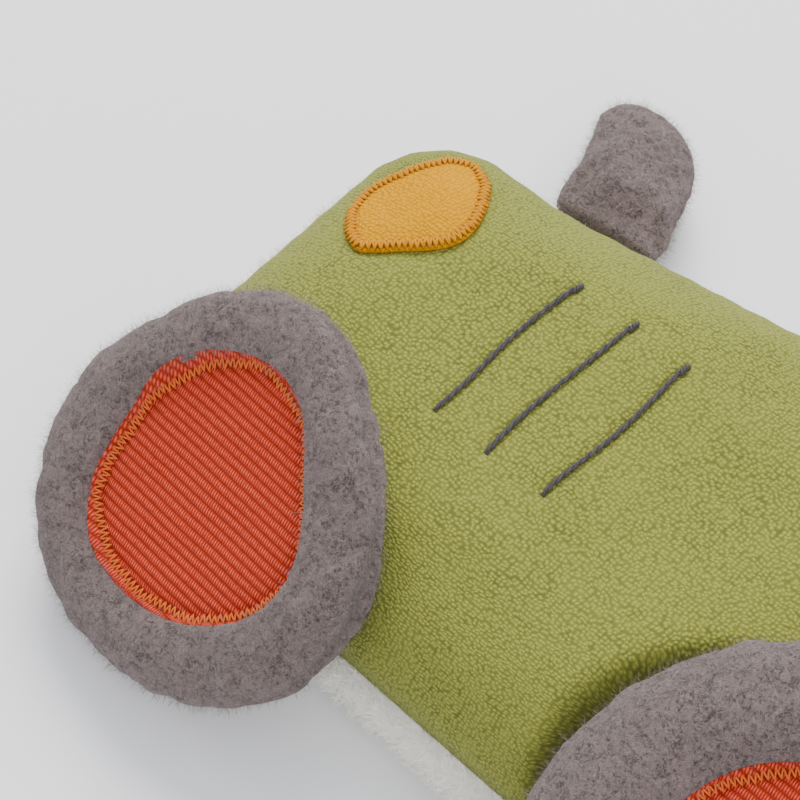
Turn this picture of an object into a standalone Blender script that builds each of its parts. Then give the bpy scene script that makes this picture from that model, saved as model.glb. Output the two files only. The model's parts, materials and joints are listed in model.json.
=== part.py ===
"""Hand puppet in the shape of a tractor, lying flat on its plush back.

The puppet is sewn from a green front panel and a cream plush back panel, with wadding behind each and a
lining bag for the hand, open at the rear edge. Two stuffed wheels hang from its bottom seam and a stuffed
exhaust stands out of its top seam. X runs from the bonnet's front edge towards the opening, Y from the
bottom seam up to the roof, and Z up from the table. Every solid is built in that frame, and the last step
moves the whole puppet so that the centre of its box's bottom lies on the world's origin.
"""

from math import atan2, cos, hypot, pi, radians, sin, sqrt, tan

import bmesh
import bpy
from mathutils import Matrix, Vector
from mathutils.geometry import delaunay_2d_cdt

MM = 0.001

# Body, seen from the front
BONNET_LENGTH = 105 * MM
CAB_LENGTH = 99 * MM
BONNET_FRONT_HEIGHT = 90.5 * MM
BONNET_REAR_HEIGHT = 107 * MM
BROW_LENGTH = 34 * MM  # the level stretch of the bonnet's top, before it rises
BROW_RISE = 1.3 * MM
CAB_HEIGHT = 178 * MM
WINDSCREEN_FOOT = 12 * MM  # how far behind the fold the windscreen starts
WINDSCREEN_LEAN = 16 * MM  # how far its top lies behind its foot
NOSE_RADIUS = 20 * MM
BROW_RADIUS = 80 * MM
CHIN_RADIUS = 16 * MM
CHIN_SETBACK = 2 * MM
ROOF_RADIUS = 14 * MM
SKIRT_RADIUS = 7 * MM  # the cab's lower rear corner
WINDSCREEN_RADIUS = 10 * MM
MOUTH_WIDTH = 138 * MM  # the opening for the hand, in the rear edge
MOUTH_FROM_BOTTOM = 14 * MM

# Body, through its thickness
BODY_THICKNESS = 35 * MM
SEAM_HEIGHT = 14 * MM
SHOULDER = 29 * MM  # how far in from the seam the body reaches its full thickness
VELOUR = 2 * MM
PLUSH = 5.3 * MM
PLUSH_OVERHANG = 3.5 * MM
PLUSH_DROOP = 5 * MM
LINING = 1 * MM
LINING_INSET = 6.5 * MM
EDGE_RING = 1.5 * MM  # how far inside a section's outline its first ring of points lies
EDGE_CLEAR = 1 * MM  # how far its other points keep from the outline
RING_CLEAR = 3 * MM  # and from the lining's edge and the fold
LEAST_WADDING = 1.5 * MM
HAND_SPACE = 13.2 * MM
HAND_SHOULDER = 12 * MM
HEM = 2.4 * MM
GAP = 0.3 * MM
PATCH_STEP = 5 * MM  # how finely a patch is faceted
PATCH_GAP = GAP + PATCH_STEP ** 2 * BODY_THICKNESS / (5 * SHOULDER ** 2)  # with the sag of its facets

# The fold between bonnet and cab
FOLD_HALF_ANGLE = radians(12.5)
FOLD_HEIGHT = BODY_THICKNESS / 2

# Wheels: each hangs on the bottom seam, leans on it, and stands with its rim just off the table
FRONT_WHEEL = {
    "from_nose": 33.6 * MM, "above_seam": 1.6 * MM, "radius": 35.8 * MM, "hub": 22.5 * MM,
    "roll": radians(6), "tyre": 8.2 * MM, "tyre_back": 6 * MM, "waist": 3.2 * MM,
}
REAR_WHEEL = {
    "from_nose": BONNET_LENGTH + 59 * MM, "above_seam": 7 * MM, "radius": 53 * MM, "hub": 32.5 * MM,
    "roll": 0, "tyre": 9.5 * MM, "tyre_back": 7 * MM, "waist": 3.4 * MM,
}
RIM_LIFT = 1.2 * MM  # of the wheels' rims above the table
LEAN_RANGE = (radians(1), radians(80))  # where a wheel's lean is looked for, by halving
LEAN_STEPS = 40
FLEECE = 2.2 * MM
KNIT = 1 * MM
STITCH_WIDTH = 2.3 * MM
STITCH_HEIGHT = 0.9 * MM
PRESSED_RIM = 8 * MM  # how far beyond its rim a wheel keeps the panel down
TACK_LENGTH = 24 * MM
TACK_RADIUS = 0.8 * MM
TACK_FACETS = 10

# Exhaust
EXHAUST_WIDTH = 23 * MM
EXHAUST_LENGTH = 28 * MM
EXHAUST_THICKNESS = 15.5 * MM
EXHAUST_EDGE = 2.6 * MM
EXHAUST_FROM_FRONT = 38.6 * MM
EXHAUST_TURN = radians(6)  # of its base, along the top seam
EXHAUST_LEAN = radians(19)
EXHAUST_DROOP = radians(9)
EXHAUST_CLEARANCE = 2 * MM
EXHAUST_BELOW_SEAM = 2 * MM
EXHAUST_CORNER = 2 * MM  # the radius where its sides meet its base
EXHAUST_FLAT = 0.5 * MM  # half the straight part of its round end
EXHAUST_RING = 6.5 * MM  # how far inside its outline the cover's inner ring of points lies
EXHAUST_GRID = 8 * MM

# Patches, stitches and label on the body
HEADLIGHT_CENTRE = (18.4 * MM, BONNET_FRONT_HEIGHT - 22.1 * MM)
HEADLIGHT_SIZE = (20.5 * MM, 29.5 * MM)
HEADLIGHT_TURN = radians(-14)
GRILLE_LINES = 3
GRILLE_FROM_FRONT = 52.2 * MM
GRILLE_SPACING = 12.6 * MM
GRILLE_FOOT = 37.3 * MM
GRILLE_LENGTH = 36.6 * MM
GRILLE_THREAD = 1.2 * MM
WINDOW_SIZE = (46 * MM, 44 * MM)
WINDOW_CENTRE = (BONNET_LENGTH + 58 * MM, CAB_HEIGHT - 45 * MM)
WINDOW_RADIUS = 9 * MM
PATCH = 1.1 * MM
LABEL_SIZE = (16 * MM, 20 * MM, 0.8 * MM)
LABEL_HEIGHT = 38 * MM  # above the bonnet, along the windscreen's seam
LABEL_CLEARANCE = 1 * MM

# How finely the solids are faceted
EDGE_STEP = 11 * MM
GRID_STEP = 17 * MM
CORNER_STEPS = 5
WINDOW_STEP = 8 * MM
WHEEL_STEPS = 28

COLOURS = {
    "green_velour": (0.33, 0.34, 0.09, 0.95),
    "cream_plush": (0.72, 0.68, 0.58, 0.95),
    "wadding": (0.80, 0.80, 0.78, 0.95),
    "lining": (0.70, 0.66, 0.55, 0.9),
    "grey_fleece": (0.18, 0.15, 0.14, 0.97),
    "orange_knit": (0.55, 0.08, 0.03, 0.9),
    "orange_thread": (0.62, 0.12, 0.03, 0.7),
    "yellow_velour": (0.62, 0.33, 0.03, 0.9),
    "yellow_thread": (0.50, 0.27, 0.05, 0.7),
    "grey_thread": (0.05, 0.045, 0.05, 0.8),
    "label_tape": (0.80, 0.80, 0.78, 0.6),
}


def clear_scene():
    for item in list(bpy.data.objects):
        bpy.data.objects.remove(item, do_unlink=True)


def material(name):
    found = bpy.data.materials.get(name)
    if found:
        return found
    made = bpy.data.materials.new(name)
    made.use_nodes = True
    red, green, blue, roughness = COLOURS[name]
    shader = made.node_tree.nodes["Principled BSDF"]
    shader.inputs["Base Color"].default_value = (red, green, blue, 1)
    shader.inputs["Roughness"].default_value = roughness
    shader.inputs["Metallic"].default_value = 0
    return made


def pivot(name, place, parent=None):
    """An empty on a joint's axis, given in the puppet's frame."""
    empty = bpy.data.objects.new(name, None)
    empty.empty_display_size = 0.01
    bpy.context.collection.objects.link(empty)
    empty["place"] = place
    empty.parent = parent
    empty.location = Vector(place) - (Vector(parent["place"]) if parent else Vector())
    return empty


def add(name, shape, colour, parent):
    """The finished object of a bmesh that is built in the puppet's frame."""
    bmesh.ops.recalc_face_normals(shape, faces=shape.faces)
    if shape.calc_volume(signed=True) < 0:
        bmesh.ops.reverse_faces(shape, faces=shape.faces)
    origin = Vector(parent["place"])
    bmesh.ops.translate(shape, verts=shape.verts, vec=-origin)
    mesh = bpy.data.meshes.new(name)
    shape.to_mesh(mesh)
    shape.free()
    mesh.shade_smooth()
    mesh.set_sharp_from_angle(angle=radians(40))
    mesh.materials.append(material(colour))
    item = bpy.data.objects.new(name, mesh)
    bpy.context.collection.objects.link(item)
    item.parent = parent
    return item


# Outlines --------------------------------------------------------------------------------------------


def offset_corner(before, corner, after, inset_before, inset_after):
    """The corner of an outline whose two edges move inwards; a straight joint gives a point on each edge."""
    along = (corner - before).normalized()
    onward = (after - corner).normalized()
    inward = Vector((-along.y, along.x))
    inward_next = Vector((-onward.y, onward.x))
    turn = along.x * onward.y - along.y * onward.x
    if abs(turn) < 1e-6:
        if inset_before == inset_after:
            return [corner + inward * inset_before]
        return [
            corner + inward * inset_before - along * inset_after,
            corner + inward * inset_after + along * inset_before,
        ]
    start = corner + inward * inset_before
    gap = corner + inward_next * inset_after - start
    reach = (gap.x * onward.y - gap.y * onward.x) / turn
    return [start + along * reach]


def round_corner(before, corner, after, radius):
    """Points of the arc that rounds a corner off."""
    back = (before - corner).normalized()
    ahead = (after - corner).normalized()
    half = back.angle(ahead, pi) / 2
    if radius <= 0 or half > pi / 2 - 0.01:
        return [corner]
    tangent = radius / tan(half)
    centre = corner + (back + ahead).normalized() * (radius / sin(half))
    first = corner + back * tangent - centre
    last = corner + ahead * tangent - centre
    sweep = atan2(first.x * last.y - first.y * last.x, first.dot(last))
    steps = max(2, round(CORNER_STEPS * abs(sweep) / (pi / 2)))
    points = []
    for step in range(steps + 1):
        turn = Matrix.Rotation(sweep * step / steps, 2)
        points.append(centre + turn @ first)
    return points


def outline(corners, inset=0.0):
    """An anticlockwise outline from (x, y, radius, sewn) corners, where sewn is about the edge that follows.

    Only sewn edges move inwards. Returns the points and, for each, whether the edge that follows is sewn.
    """
    count = len(corners)
    moved = []
    for index, (x, y, radius, sewn) in enumerate(corners):
        x_before, y_before, _, sewn_before = corners[index - 1]
        x_after, y_after, _, _ = corners[(index + 1) % count]
        before = Vector((x_before, y_before))
        after = Vector((x_after, y_after))
        corner = Vector((x, y))
        turn = (corner - before).cross(after - corner)
        bend = radius - inset if turn > 0 else radius + inset
        shifted = offset_corner(
            before, corner, after, inset if sewn_before else 0, inset if sewn else 0
        )
        for number, point in enumerate(shifted):
            last = number == len(shifted) - 1
            rounding = max(bend, 1 * MM) if radius > 0 and len(shifted) == 1 else 0
            moved.append((point, rounding, sewn if last else True))
    points = []
    flags = []
    for index, (point, radius, sewn) in enumerate(moved):
        before = moved[index - 1][0]
        after = moved[(index + 1) % len(moved)][0]
        arc = round_corner(before, point, after, radius)
        points.extend(arc)
        flags.extend([True] * (len(arc) - 1) + [sewn])
    return subdivided(points, flags, EDGE_STEP)


def subdivided(points, flags, step):
    """The same outline with its long edges split; open edges are split at the same heights in every loop."""
    dense = []
    dense_flags = []
    for index, point in enumerate(points):
        after = points[(index + 1) % len(points)]
        along = after - point
        pieces = max(1, round(along.length / step))
        shares = [piece / pieces for piece in range(pieces)]
        if not flags[index]:
            marks = [(step * mark - point.y) / along.y for mark in range(int(CAB_HEIGHT / step) + 1)]
            shares = [0] + sorted(mark for mark in marks if 0.02 < mark < 0.98)
        for share in shares:
            place = point + along * share
            dense.append(Vector((round(place.x, 6), round(place.y, 6))))
            dense_flags.append(flags[index])
    return dense, dense_flags


def oval(centre, size, turn, steps, grow=0.0):
    points = []
    for step in range(steps):
        angle = 2 * pi * step / steps
        local = Vector(((size[0] / 2 + grow) * cos(angle), (size[1] / 2 + grow) * sin(angle)))
        points.append(Vector(centre) + Matrix.Rotation(turn, 2) @ local)
    return points


def inside(point, loop):
    """Whether a point lies within a closed loop."""
    within = False
    for index, start in enumerate(loop):
        end = loop[(index + 1) % len(loop)]
        if (start.y > point.y) != (end.y > point.y):
            crossing = start.x + (point.y - start.y) * (end.x - start.x) / (end.y - start.y)
            if point.x < crossing:
                within = not within
    return within


def distance(point, edges):
    """How far a point lies from the nearest of some straight edges."""
    least = 1.0
    for start, end in edges:
        along = end - start
        share = (point - start).dot(along) / along.length_squared
        nearest = start + along * min(max(share, 0), 1)
        least = min(least, (point - nearest).length)
    return least


def edges_of(points, flags, wanted):
    pairs = []
    for index, sewn in enumerate(flags):
        if sewn == wanted:
            pairs.append((points[index], points[(index + 1) % len(points)]))
    return pairs


# The body's outlines ---------------------------------------------------------------------------------

BODY_LENGTH = BONNET_LENGTH + CAB_LENGTH
MOUTH_TOP = MOUTH_FROM_BOTTOM + MOUTH_WIDTH


def bonnet_corners(grow=0.0):
    """The bonnet's outline, open where it meets the cab, with its sewn edges moved outwards by grow."""
    return [
        (CHIN_SETBACK - grow, -grow, CHIN_RADIUS + grow, True),
        (BONNET_LENGTH, -grow, 0, False),
        (BONNET_LENGTH, BONNET_REAR_HEIGHT + grow, 0, True),
        (BROW_LENGTH, BONNET_FRONT_HEIGHT + BROW_RISE + grow, BROW_RADIUS, True),
        (-grow, BONNET_FRONT_HEIGHT + grow, NOSE_RADIUS + grow, True),
    ]


def cab_corners(grow=0.0):
    """The cab's outline, open where it meets the bonnet and along the mouth for the hand."""
    return [
        (BONNET_LENGTH, -grow, 0, True),
        (BODY_LENGTH, -grow, SKIRT_RADIUS, True),
        (BODY_LENGTH, MOUTH_FROM_BOTTOM, 0, False),
        (BODY_LENGTH, MOUTH_TOP, 0, True),
        (BODY_LENGTH, CAB_HEIGHT + grow, ROOF_RADIUS, True),
        (BONNET_LENGTH + WINDSCREEN_FOOT + WINDSCREEN_LEAN - grow, CAB_HEIGHT + grow, ROOF_RADIUS, True),
        (BONNET_LENGTH + WINDSCREEN_FOOT - grow, BONNET_REAR_HEIGHT + grow, WINDSCREEN_RADIUS, True),
        (BONNET_LENGTH, BONNET_REAR_HEIGHT + grow, 0, False),
    ]


def wheel_depth(wheel, bulge, reach, inset=0.0):
    """Half the thickness of a wheel at a distance from its centre, or of its section moved inwards."""
    hub, radius, waist = wheel["hub"], wheel["radius"] - inset, wheel["waist"] - inset
    if reach <= hub:
        return waist
    share = min(1.0, (reach - hub) / (radius - hub))
    edge = sqrt(1 - share * share)
    crest = bulge - inset - waist * sqrt(0.75)
    return waist * edge + crest * sin(pi * share)


def settle(wheel):
    """Finds the lean at which the wheel's back just clears the seam while its rim clears the table."""
    seam = SEAM_HEIGHT + GAP / 2 + VELOUR + GAP
    depth = (wheel["tyre_back"] + GAP / 2 + PATCH_GAP) / cos(wheel["roll"])
    low, high = LEAN_RANGE
    for _ in range(LEAN_STEPS):
        lean = (low + high) / 2
        height = RIM_LIFT + wheel["tyre"] + (wheel["radius"] - wheel["tyre"]) * sin(lean)
        if height - wheel["above_seam"] * tan(lean) - depth / cos(lean) < seam:
            low = lean
        else:
            high = lean
    wheel["lean"] = lean
    wheel["centre"] = (wheel["from_nose"], wheel["above_seam"], height)
    return wheel


def pressed_height(x, y):
    """The height that the wheels lying on the front panel leave for it: a flat slope under each wheel."""
    height = CAB_HEIGHT
    for wheel in WHEELS:
        x_centre, y_centre, z_centre = wheel["centre"]
        across = x - x_centre
        up = y - y_centre
        beyond = max(0.0, hypot(across, up / cos(wheel["lean"])) - wheel["radius"] - PRESSED_RIM)
        depth = (wheel["tyre_back"] + GAP / 2 + PATCH_GAP) / cos(wheel["roll"])
        slope = up * sin(wheel["lean"]) + across * tan(wheel["roll"])
        height = min(height, z_centre + (slope - depth) / cos(wheel["lean"]) + beyond)
    return height


class Body:
    """Heights of every layer of the body above any point of its outline."""

    def __init__(self):
        self.seams = []
        for corners in (bonnet_corners(), cab_corners()):
            points, flags = outline(corners)
            self.seams.extend(edges_of(points, flags, True))

    def swell(self, x, y):
        """0 on the seam, 1 where the body has its full thickness."""
        share = min(1.0, distance(Vector((x, y)), self.seams) / SHOULDER)
        return sqrt(1 - (1 - share) ** 2)

    def front(self, x, y):
        edge = SEAM_HEIGHT + GAP / 2 + VELOUR
        height = edge + (BODY_THICKNESS - edge) * self.swell(x, y)
        return max(edge, min(height, pressed_height(x, y)))

    def back(self, x, y):
        """The plush panel's underside; outside the seam, where its pile sticks out, it droops."""
        edge = SEAM_HEIGHT - GAP / 2 - PLUSH
        if not self.covers(x, y):
            beyond = distance(Vector((x, y)), self.seams) / PLUSH_OVERHANG
            return edge - PLUSH_DROOP * min(1.0, beyond)
        return edge * (1 - self.swell(x, y))

    def covers(self, x, y):
        point = Vector((x, y))
        return any(inside(point, loop) for loop in (BONNET_LOOP, CAB_LOOP))

    def hand(self, x, y):
        """The hand space's floor and ceiling."""
        depth = distance(Vector((x, y)), self.seams) - LINING_INSET
        share = min(1.0, max(0.0, depth / HAND_SHOULDER))
        half = GAP + (HAND_SPACE / 2 - GAP) * sqrt(1 - (1 - share) ** 2)
        around = LINING + LEAST_WADDING + 2 * GAP
        ceiling = self.front(x, y) - VELOUR - around
        floor = self.back(x, y) + PLUSH + around
        half = max(GAP, min(half, (ceiling - floor) / 2))
        middle = min(BODY_THICKNESS / 2 + 1 * MM, ceiling - half)
        middle = max(middle, floor + half)
        return middle - half, middle + half

    def layer(self, name, x, y):
        """Bottom and top of one layer."""
        front = self.front(x, y)
        back = self.back(x, y)
        if name == "front_panel":
            return front - VELOUR, front
        if name == "back_panel":
            return back, back + PLUSH
        floor, ceiling = self.hand(x, y)
        if name == "front_lining":
            return ceiling, ceiling + LINING
        if name == "back_lining":
            return floor - LINING, floor
        if name == "front_wadding":
            return ceiling + LINING + GAP, front - VELOUR - GAP
        return back + PLUSH + GAP, floor - LINING - GAP


WHEELS = [settle(FRONT_WHEEL), settle(REAR_WHEEL)]
BONNET_LOOP = outline(bonnet_corners())[0]
CAB_LOOP = outline(cab_corners())[0]
BODY = Body()


# Solids ----------------------------------------------------------------------------------------------


def triangles(loop, rings, keep_from, grid):
    """Points and triangles inside a loop, with extra rings of points and a grid of them."""
    points = list(loop)
    edges = [(index, (index + 1) % len(loop)) for index in range(len(loop))]
    for ring, closed in rings:
        start = len(points)
        kept = [point for point in ring if closed or keep_from(point)]
        points.extend(kept)
        if closed:
            edges.extend((start + i, start + (i + 1) % len(kept)) for i in range(len(kept)))
    if grid:
        left = min(point.x for point in loop)
        right = max(point.x for point in loop)
        low = min(point.y for point in loop)
        high = max(point.y for point in loop)
        for column in range(1, int((right - left) / grid) + 1):
            for row in range(1, int((high - low) / grid) + 1):
                point = Vector((left + grid * (column - 0.5 * (row % 2)), low + grid * row))
                if inside(point, loop) and keep_from(point, grid * 0.55):
                    points.append(point)
    found = delaunay_2d_cdt(points, edges, [list(range(len(loop)))], 1, 1e-6)
    return found[0], [tuple(face) for face in found[2]]


def covered(points, faces, loop):
    """The triangles that lie within a loop."""
    found = []
    for face in faces:
        middle = sum((points[corner] for corner in face), Vector((0, 0))) / 3
        if inside(middle, loop):
            found.append(face)
    return found


def slab(points, faces, heights, bend=None):
    """A closed solid over triangles, between the (bottom, top) that heights gives for each point."""
    used = sorted({corner for face in faces for corner in face})
    shape = bmesh.new()
    low = {}
    high = {}
    for index in used:
        x, y = points[index]
        bottom, top = heights(x, y)
        low[index] = shape.verts.new(bend(x, y, bottom) if bend else (x, y, bottom))
        high[index] = shape.verts.new(bend(x, y, top) if bend else (x, y, top))
    sides = {}
    for face in faces:
        shape.faces.new([high[corner] for corner in face])
        shape.faces.new([low[corner] for corner in reversed(face)])
        for index, corner in enumerate(face):
            after = face[(index + 1) % len(face)]
            if sides.pop((after, corner), None) is None:
                sides[(corner, after)] = True
    for start, end in sides:
        shape.faces.new([low[start], low[end], high[end], high[start]])
    return shape


def band(inner, outer, heights):
    """A closed ring between two loops of the same number of points."""
    shape = bmesh.new()
    rings = []
    for loop in (inner, outer):
        rings.append([shape.verts.new((p.x, p.y, heights(p.x, p.y)[0])) for p in loop])
        rings.append([shape.verts.new((p.x, p.y, heights(p.x, p.y)[1])) for p in loop])
    inner_low, inner_high, outer_low, outer_high = rings
    section = [inner_high, outer_high, outer_low, inner_low]
    for here in range(len(inner)):
        after = (here + 1) % len(inner)
        for first, second in zip(section, section[1:] + section[:1]):
            shape.faces.new([first[here], second[here], second[after], first[after]])
    return shape


def lathe(profile, place):
    """A turned solid from a (radius, height) profile, closed or from the axis to the axis."""
    shape = bmesh.new()
    solid = profile[0][0] == 0
    rings = []
    for radius, height in profile:
        if radius == 0:
            rings.append([shape.verts.new((0, 0, height))])
            continue
        ring = []
        for step in range(WHEEL_STEPS):
            angle = 2 * pi * step / WHEEL_STEPS
            ring.append(shape.verts.new((radius * cos(angle), radius * sin(angle), height)))
        rings.append(ring)
    pairs = list(zip(rings, rings[1:]))
    if not solid:
        pairs.append((rings[-1], rings[0]))
    for first, second in pairs:
        for here in range(WHEEL_STEPS):
            after = (here + 1) % WHEEL_STEPS
            if len(first) == 1:
                shape.faces.new([first[0], second[here], second[after]])
            elif len(second) == 1:
                shape.faces.new([first[here], second[0], first[after]])
            else:
                shape.faces.new([first[here], second[here], second[after], first[after]])
    bmesh.ops.transform(shape, matrix=place, verts=shape.verts)
    return shape


# The body --------------------------------------------------------------------------------------------


def fold_bend(side):
    """Slants a section's end at the fold, so that the two ends meet when the puppet is folded."""

    def bend(x, y, z):
        if abs(x - BONNET_LENGTH) > 1e-6:
            return x, y, z
        return x + side * (GAP / 2 + abs(z - FOLD_HEIGHT) * tan(FOLD_HALF_ANGLE)), y, z

    return bend


def section_layers(section, corners, grown_corners, side, parent):
    """The six layers of the bonnet or the cab, all over the same triangles so that they nest."""
    grown = outline(grown_corners)[0]
    loop, flags = outline(corners)
    lining_loop = outline(corners, LINING_INSET)[0]
    sewn = edges_of(loop, flags, True)
    cut = edges_of(loop, flags, False)
    clear = BODY_THICKNESS / 2 * tan(FOLD_HALF_ANGLE) + RING_CLEAR

    def keep(point, least=EDGE_CLEAR):
        near_lining = min((point - other).length for other in lining_loop)
        apart = distance(point, sewn) > least and distance(point, cut) > clear and near_lining > RING_CLEAR
        return apart and inside(point, loop)

    rings = [
        (loop, True),
        (lining_loop, True),
        (outline(corners, EDGE_RING)[0], False),
        (outline(corners, SHOULDER / 2)[0], False),
    ]
    points, faces = triangles(grown, rings, keep, GRID_STEP)
    panel = covered(points, faces, loop)
    inner = covered(points, faces, lining_loop)
    bend = fold_bend(side)
    for name, colour, cover in (
        ("front_panel", "green_velour", panel),
        ("front_wadding", "wadding", inner),
        ("front_lining", "lining", inner),
        ("back_lining", "lining", inner),
        ("back_wadding", "wadding", inner),
        ("back_panel", "cream_plush", faces),
    ):
        shape = slab(points, cover, lambda x, y, layer=name: BODY.layer(layer, x, y), bend)
        add(f"{section}_{name}", shape, colour, parent)


def on_panel(thickness, lift=PATCH_GAP):
    """Heights of something that lies on the front panel."""

    def heights(x, y):
        surface = BODY.front(x, y) + lift
        return surface, surface + thickness

    return heights


def patch(name, loop, colour, parent, thickness, grid):
    """A flat piece of fabric or thread lying on the front panel."""
    edges = [(loop[i], loop[(i + 1) % len(loop)]) for i in range(len(loop))]
    points, faces = triangles(loop, [], lambda p, least=0.0: distance(p, edges) > least, grid)
    add(name, slab(points, faces, on_panel(thickness)), colour, parent)


def headlight(parent):
    steps = 20
    loops = []
    for grow in (0, GAP, GAP + STITCH_WIDTH):
        loops.append(oval(HEADLIGHT_CENTRE, HEADLIGHT_SIZE, HEADLIGHT_TURN, steps, grow - STITCH_WIDTH / 2))
    patch("headlight_patch", loops[0], "yellow_velour", parent, PATCH, PATCH_STEP)
    shape = band(loops[1], loops[2], on_panel(STITCH_HEIGHT))
    add("headlight_stitching", shape, "yellow_thread", parent)


def grille(parent):
    for line in range(GRILLE_LINES):
        middle = GRILLE_FROM_FRONT + GRILLE_SPACING * line
        half = GRILLE_THREAD / 2
        corners = [
            (middle - half, GRILLE_FOOT, 0, True),
            (middle + half, GRILLE_FOOT, 0, True),
            (middle + half, GRILLE_FOOT + GRILLE_LENGTH, 0, True),
            (middle - half, GRILLE_FOOT + GRILLE_LENGTH, 0, True),
        ]
        loop = outline(corners)[0]
        patch(f"grille_line_{line + 1}", loop, "grey_thread", parent, STITCH_HEIGHT, 0)


def window(parent):
    half_width, half_height = WINDOW_SIZE[0] / 2, WINDOW_SIZE[1] / 2
    x, y = WINDOW_CENTRE

    def loop(grow):
        width, height = half_width + grow, half_height + grow
        radius = WINDOW_RADIUS + grow
        return outline([
            (x - width, y - height, radius, True),
            (x + width, y - height, radius, True),
            (x + width, y + height, radius, True),
            (x - width, y + height, radius, True),
        ])[0]

    patch("window_patch", loop(-STITCH_WIDTH / 2), "cream_plush", parent, PATCH, WINDOW_STEP)
    inner = loop(GAP - STITCH_WIDTH / 2)
    outer = loop(GAP + STITCH_WIDTH / 2)
    add("window_stitching", band(inner, outer, on_panel(STITCH_HEIGHT)), "yellow_thread", parent)


def hems(parent):
    """The two folded edges of the mouth, one along each panel."""
    x_near = BODY_LENGTH + GAP
    x_far = x_near + HEM
    steps = 12
    for name, colour, low_layer, high_layer in (
        ("front_hem", "green_velour", "front_lining", "front_panel"),
        ("back_hem", "cream_plush", "back_panel", "back_lining"),
    ):
        points = []
        for x in (x_near, x_far):
            for step in range(steps + 1):
                share = (1 - cos(pi * step / steps)) / 2
                margin = LINING_INSET
                y = MOUTH_FROM_BOTTOM + margin + (MOUTH_WIDTH - 2 * margin) * share
                points.append(Vector((x, y)))
        faces = []
        for step in range(steps):
            here, after = step, step + 1
            near_after, near_here = after + steps + 1, here + steps + 1
            faces.append((here, near_here, near_after))
            faces.append((here, near_after, after))

        def heights(x, y, low=low_layer, high=high_layer):
            bottom = BODY.layer(low, BODY_LENGTH - 1e-6, y)[0]
            top = BODY.layer(high, BODY_LENGTH - 1e-6, y)[1]
            return bottom, top

        add(name, slab(points, faces, heights), colour, parent)


# Wheels ----------------------------------------------------------------------------------------------


def wheel_place(wheel):
    turn = Matrix.Rotation(wheel["lean"], 4, "X") @ Matrix.Rotation(-wheel["roll"], 4, "Y")
    return Matrix.Translation(wheel["centre"]) @ turn


def tyre_profile(wheel, bulge, inset, steps=6):
    """Half of a wheel's section from the hub's edge to the rim's seam, moved inwards."""
    hub, radius = wheel["hub"], wheel["radius"] - inset
    points = []
    for step in range(steps + 1):
        reach = hub + (radius - hub) * sin(pi / 2 * step / steps)
        points.append((reach, wheel_depth(wheel, bulge, reach, inset)))
    return points


def wheel_cover(wheel, bulge, side):
    """One fleece face of a wheel: a turned shell from the centre to the rim's seam."""
    outer = tyre_profile(wheel, bulge, 0)
    inner = tyre_profile(wheel, bulge, FLEECE)
    profile = [(0, wheel["waist"])] + outer + inner[::-1] + [(0, wheel["waist"] - FLEECE)]
    raised = [(reach, side * (height + GAP / 2)) for reach, height in profile]
    return lathe(raised, wheel_place(wheel))


def wheel_filling(wheel):
    """The wadding between the two faces, thick under the tyre and thin at the hub."""
    inset = FLEECE + GAP
    top = tyre_profile(wheel, wheel["tyre"], inset)
    under = tyre_profile(wheel, wheel["tyre_back"], inset)
    profile = [(0, wheel["waist"] - inset)] + top
    profile += [(reach, -height) for reach, height in under[-2::-1]]
    profile.append((0, inset - wheel["waist"]))
    return lathe(profile, wheel_place(wheel))


def stuffed_wheel(name, wheel, parent):
    add(f"{name}_wheel_face", wheel_cover(wheel, wheel["tyre"], 1), "grey_fleece", parent)
    add(f"{name}_wheel_back", wheel_cover(wheel, wheel["tyre_back"], -1), "grey_fleece", parent)
    add(f"{name}_wheel_filling", wheel_filling(wheel), "wadding", parent)
    base = wheel["waist"] + GAP / 2 + GAP
    reach = wheel["hub"] - STITCH_WIDTH
    top = base + KNIT
    knit = [(0, top), (reach / 2, top), (reach, top), (reach, base), (reach / 2, base), (0, base)]
    add(f"{name}_hub_patch", lathe(knit, wheel_place(wheel)), "orange_knit", parent)
    near, far = reach + GAP, wheel["hub"]
    crest = base + STITCH_HEIGHT
    ring = [(near, crest), (far, crest), (far, base), (near, base)]
    add(f"{name}_hub_stitching", lathe(ring, wheel_place(wheel)), "orange_thread", parent)


def tack(name, wheel, parent):
    """The row of thread that holds a wheel to the bottom seam, on the wheel's hinge line."""
    x, y, z = wheel_axis(wheel)
    shape = bmesh.new()
    place = Matrix.Translation((x, y, z)) @ Matrix.Rotation(pi / 2, 4, "Y")
    bmesh.ops.create_cone(
        shape, cap_ends=True, segments=TACK_FACETS, radius1=TACK_RADIUS, radius2=TACK_RADIUS,
        depth=TACK_LENGTH, matrix=place
    )
    add(name, shape, "grey_thread", parent)


def wheel_axis(wheel):
    """Where a wheel hinges: along the bottom seam, just outside the panels' edge."""
    return wheel["centre"][0], -(TACK_RADIUS + GAP), SEAM_HEIGHT + GAP + TACK_RADIUS


# Exhaust and label -----------------------------------------------------------------------------------


def bonnet_top(x):
    """The height of the bonnet's top seam, behind the brow."""
    share = (x - BROW_LENGTH) / (BONNET_LENGTH - BROW_LENGTH)
    brow = BONNET_FRONT_HEIGHT + BROW_RISE
    return brow + max(0.0, share) * (BONNET_REAR_HEIGHT - brow)


def exhaust_axis():
    x = EXHAUST_FROM_FRONT
    return x, bonnet_top(x) + PLUSH_OVERHANG + EXHAUST_CLEARANCE, SEAM_HEIGHT - EXHAUST_BELOW_SEAM


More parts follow.
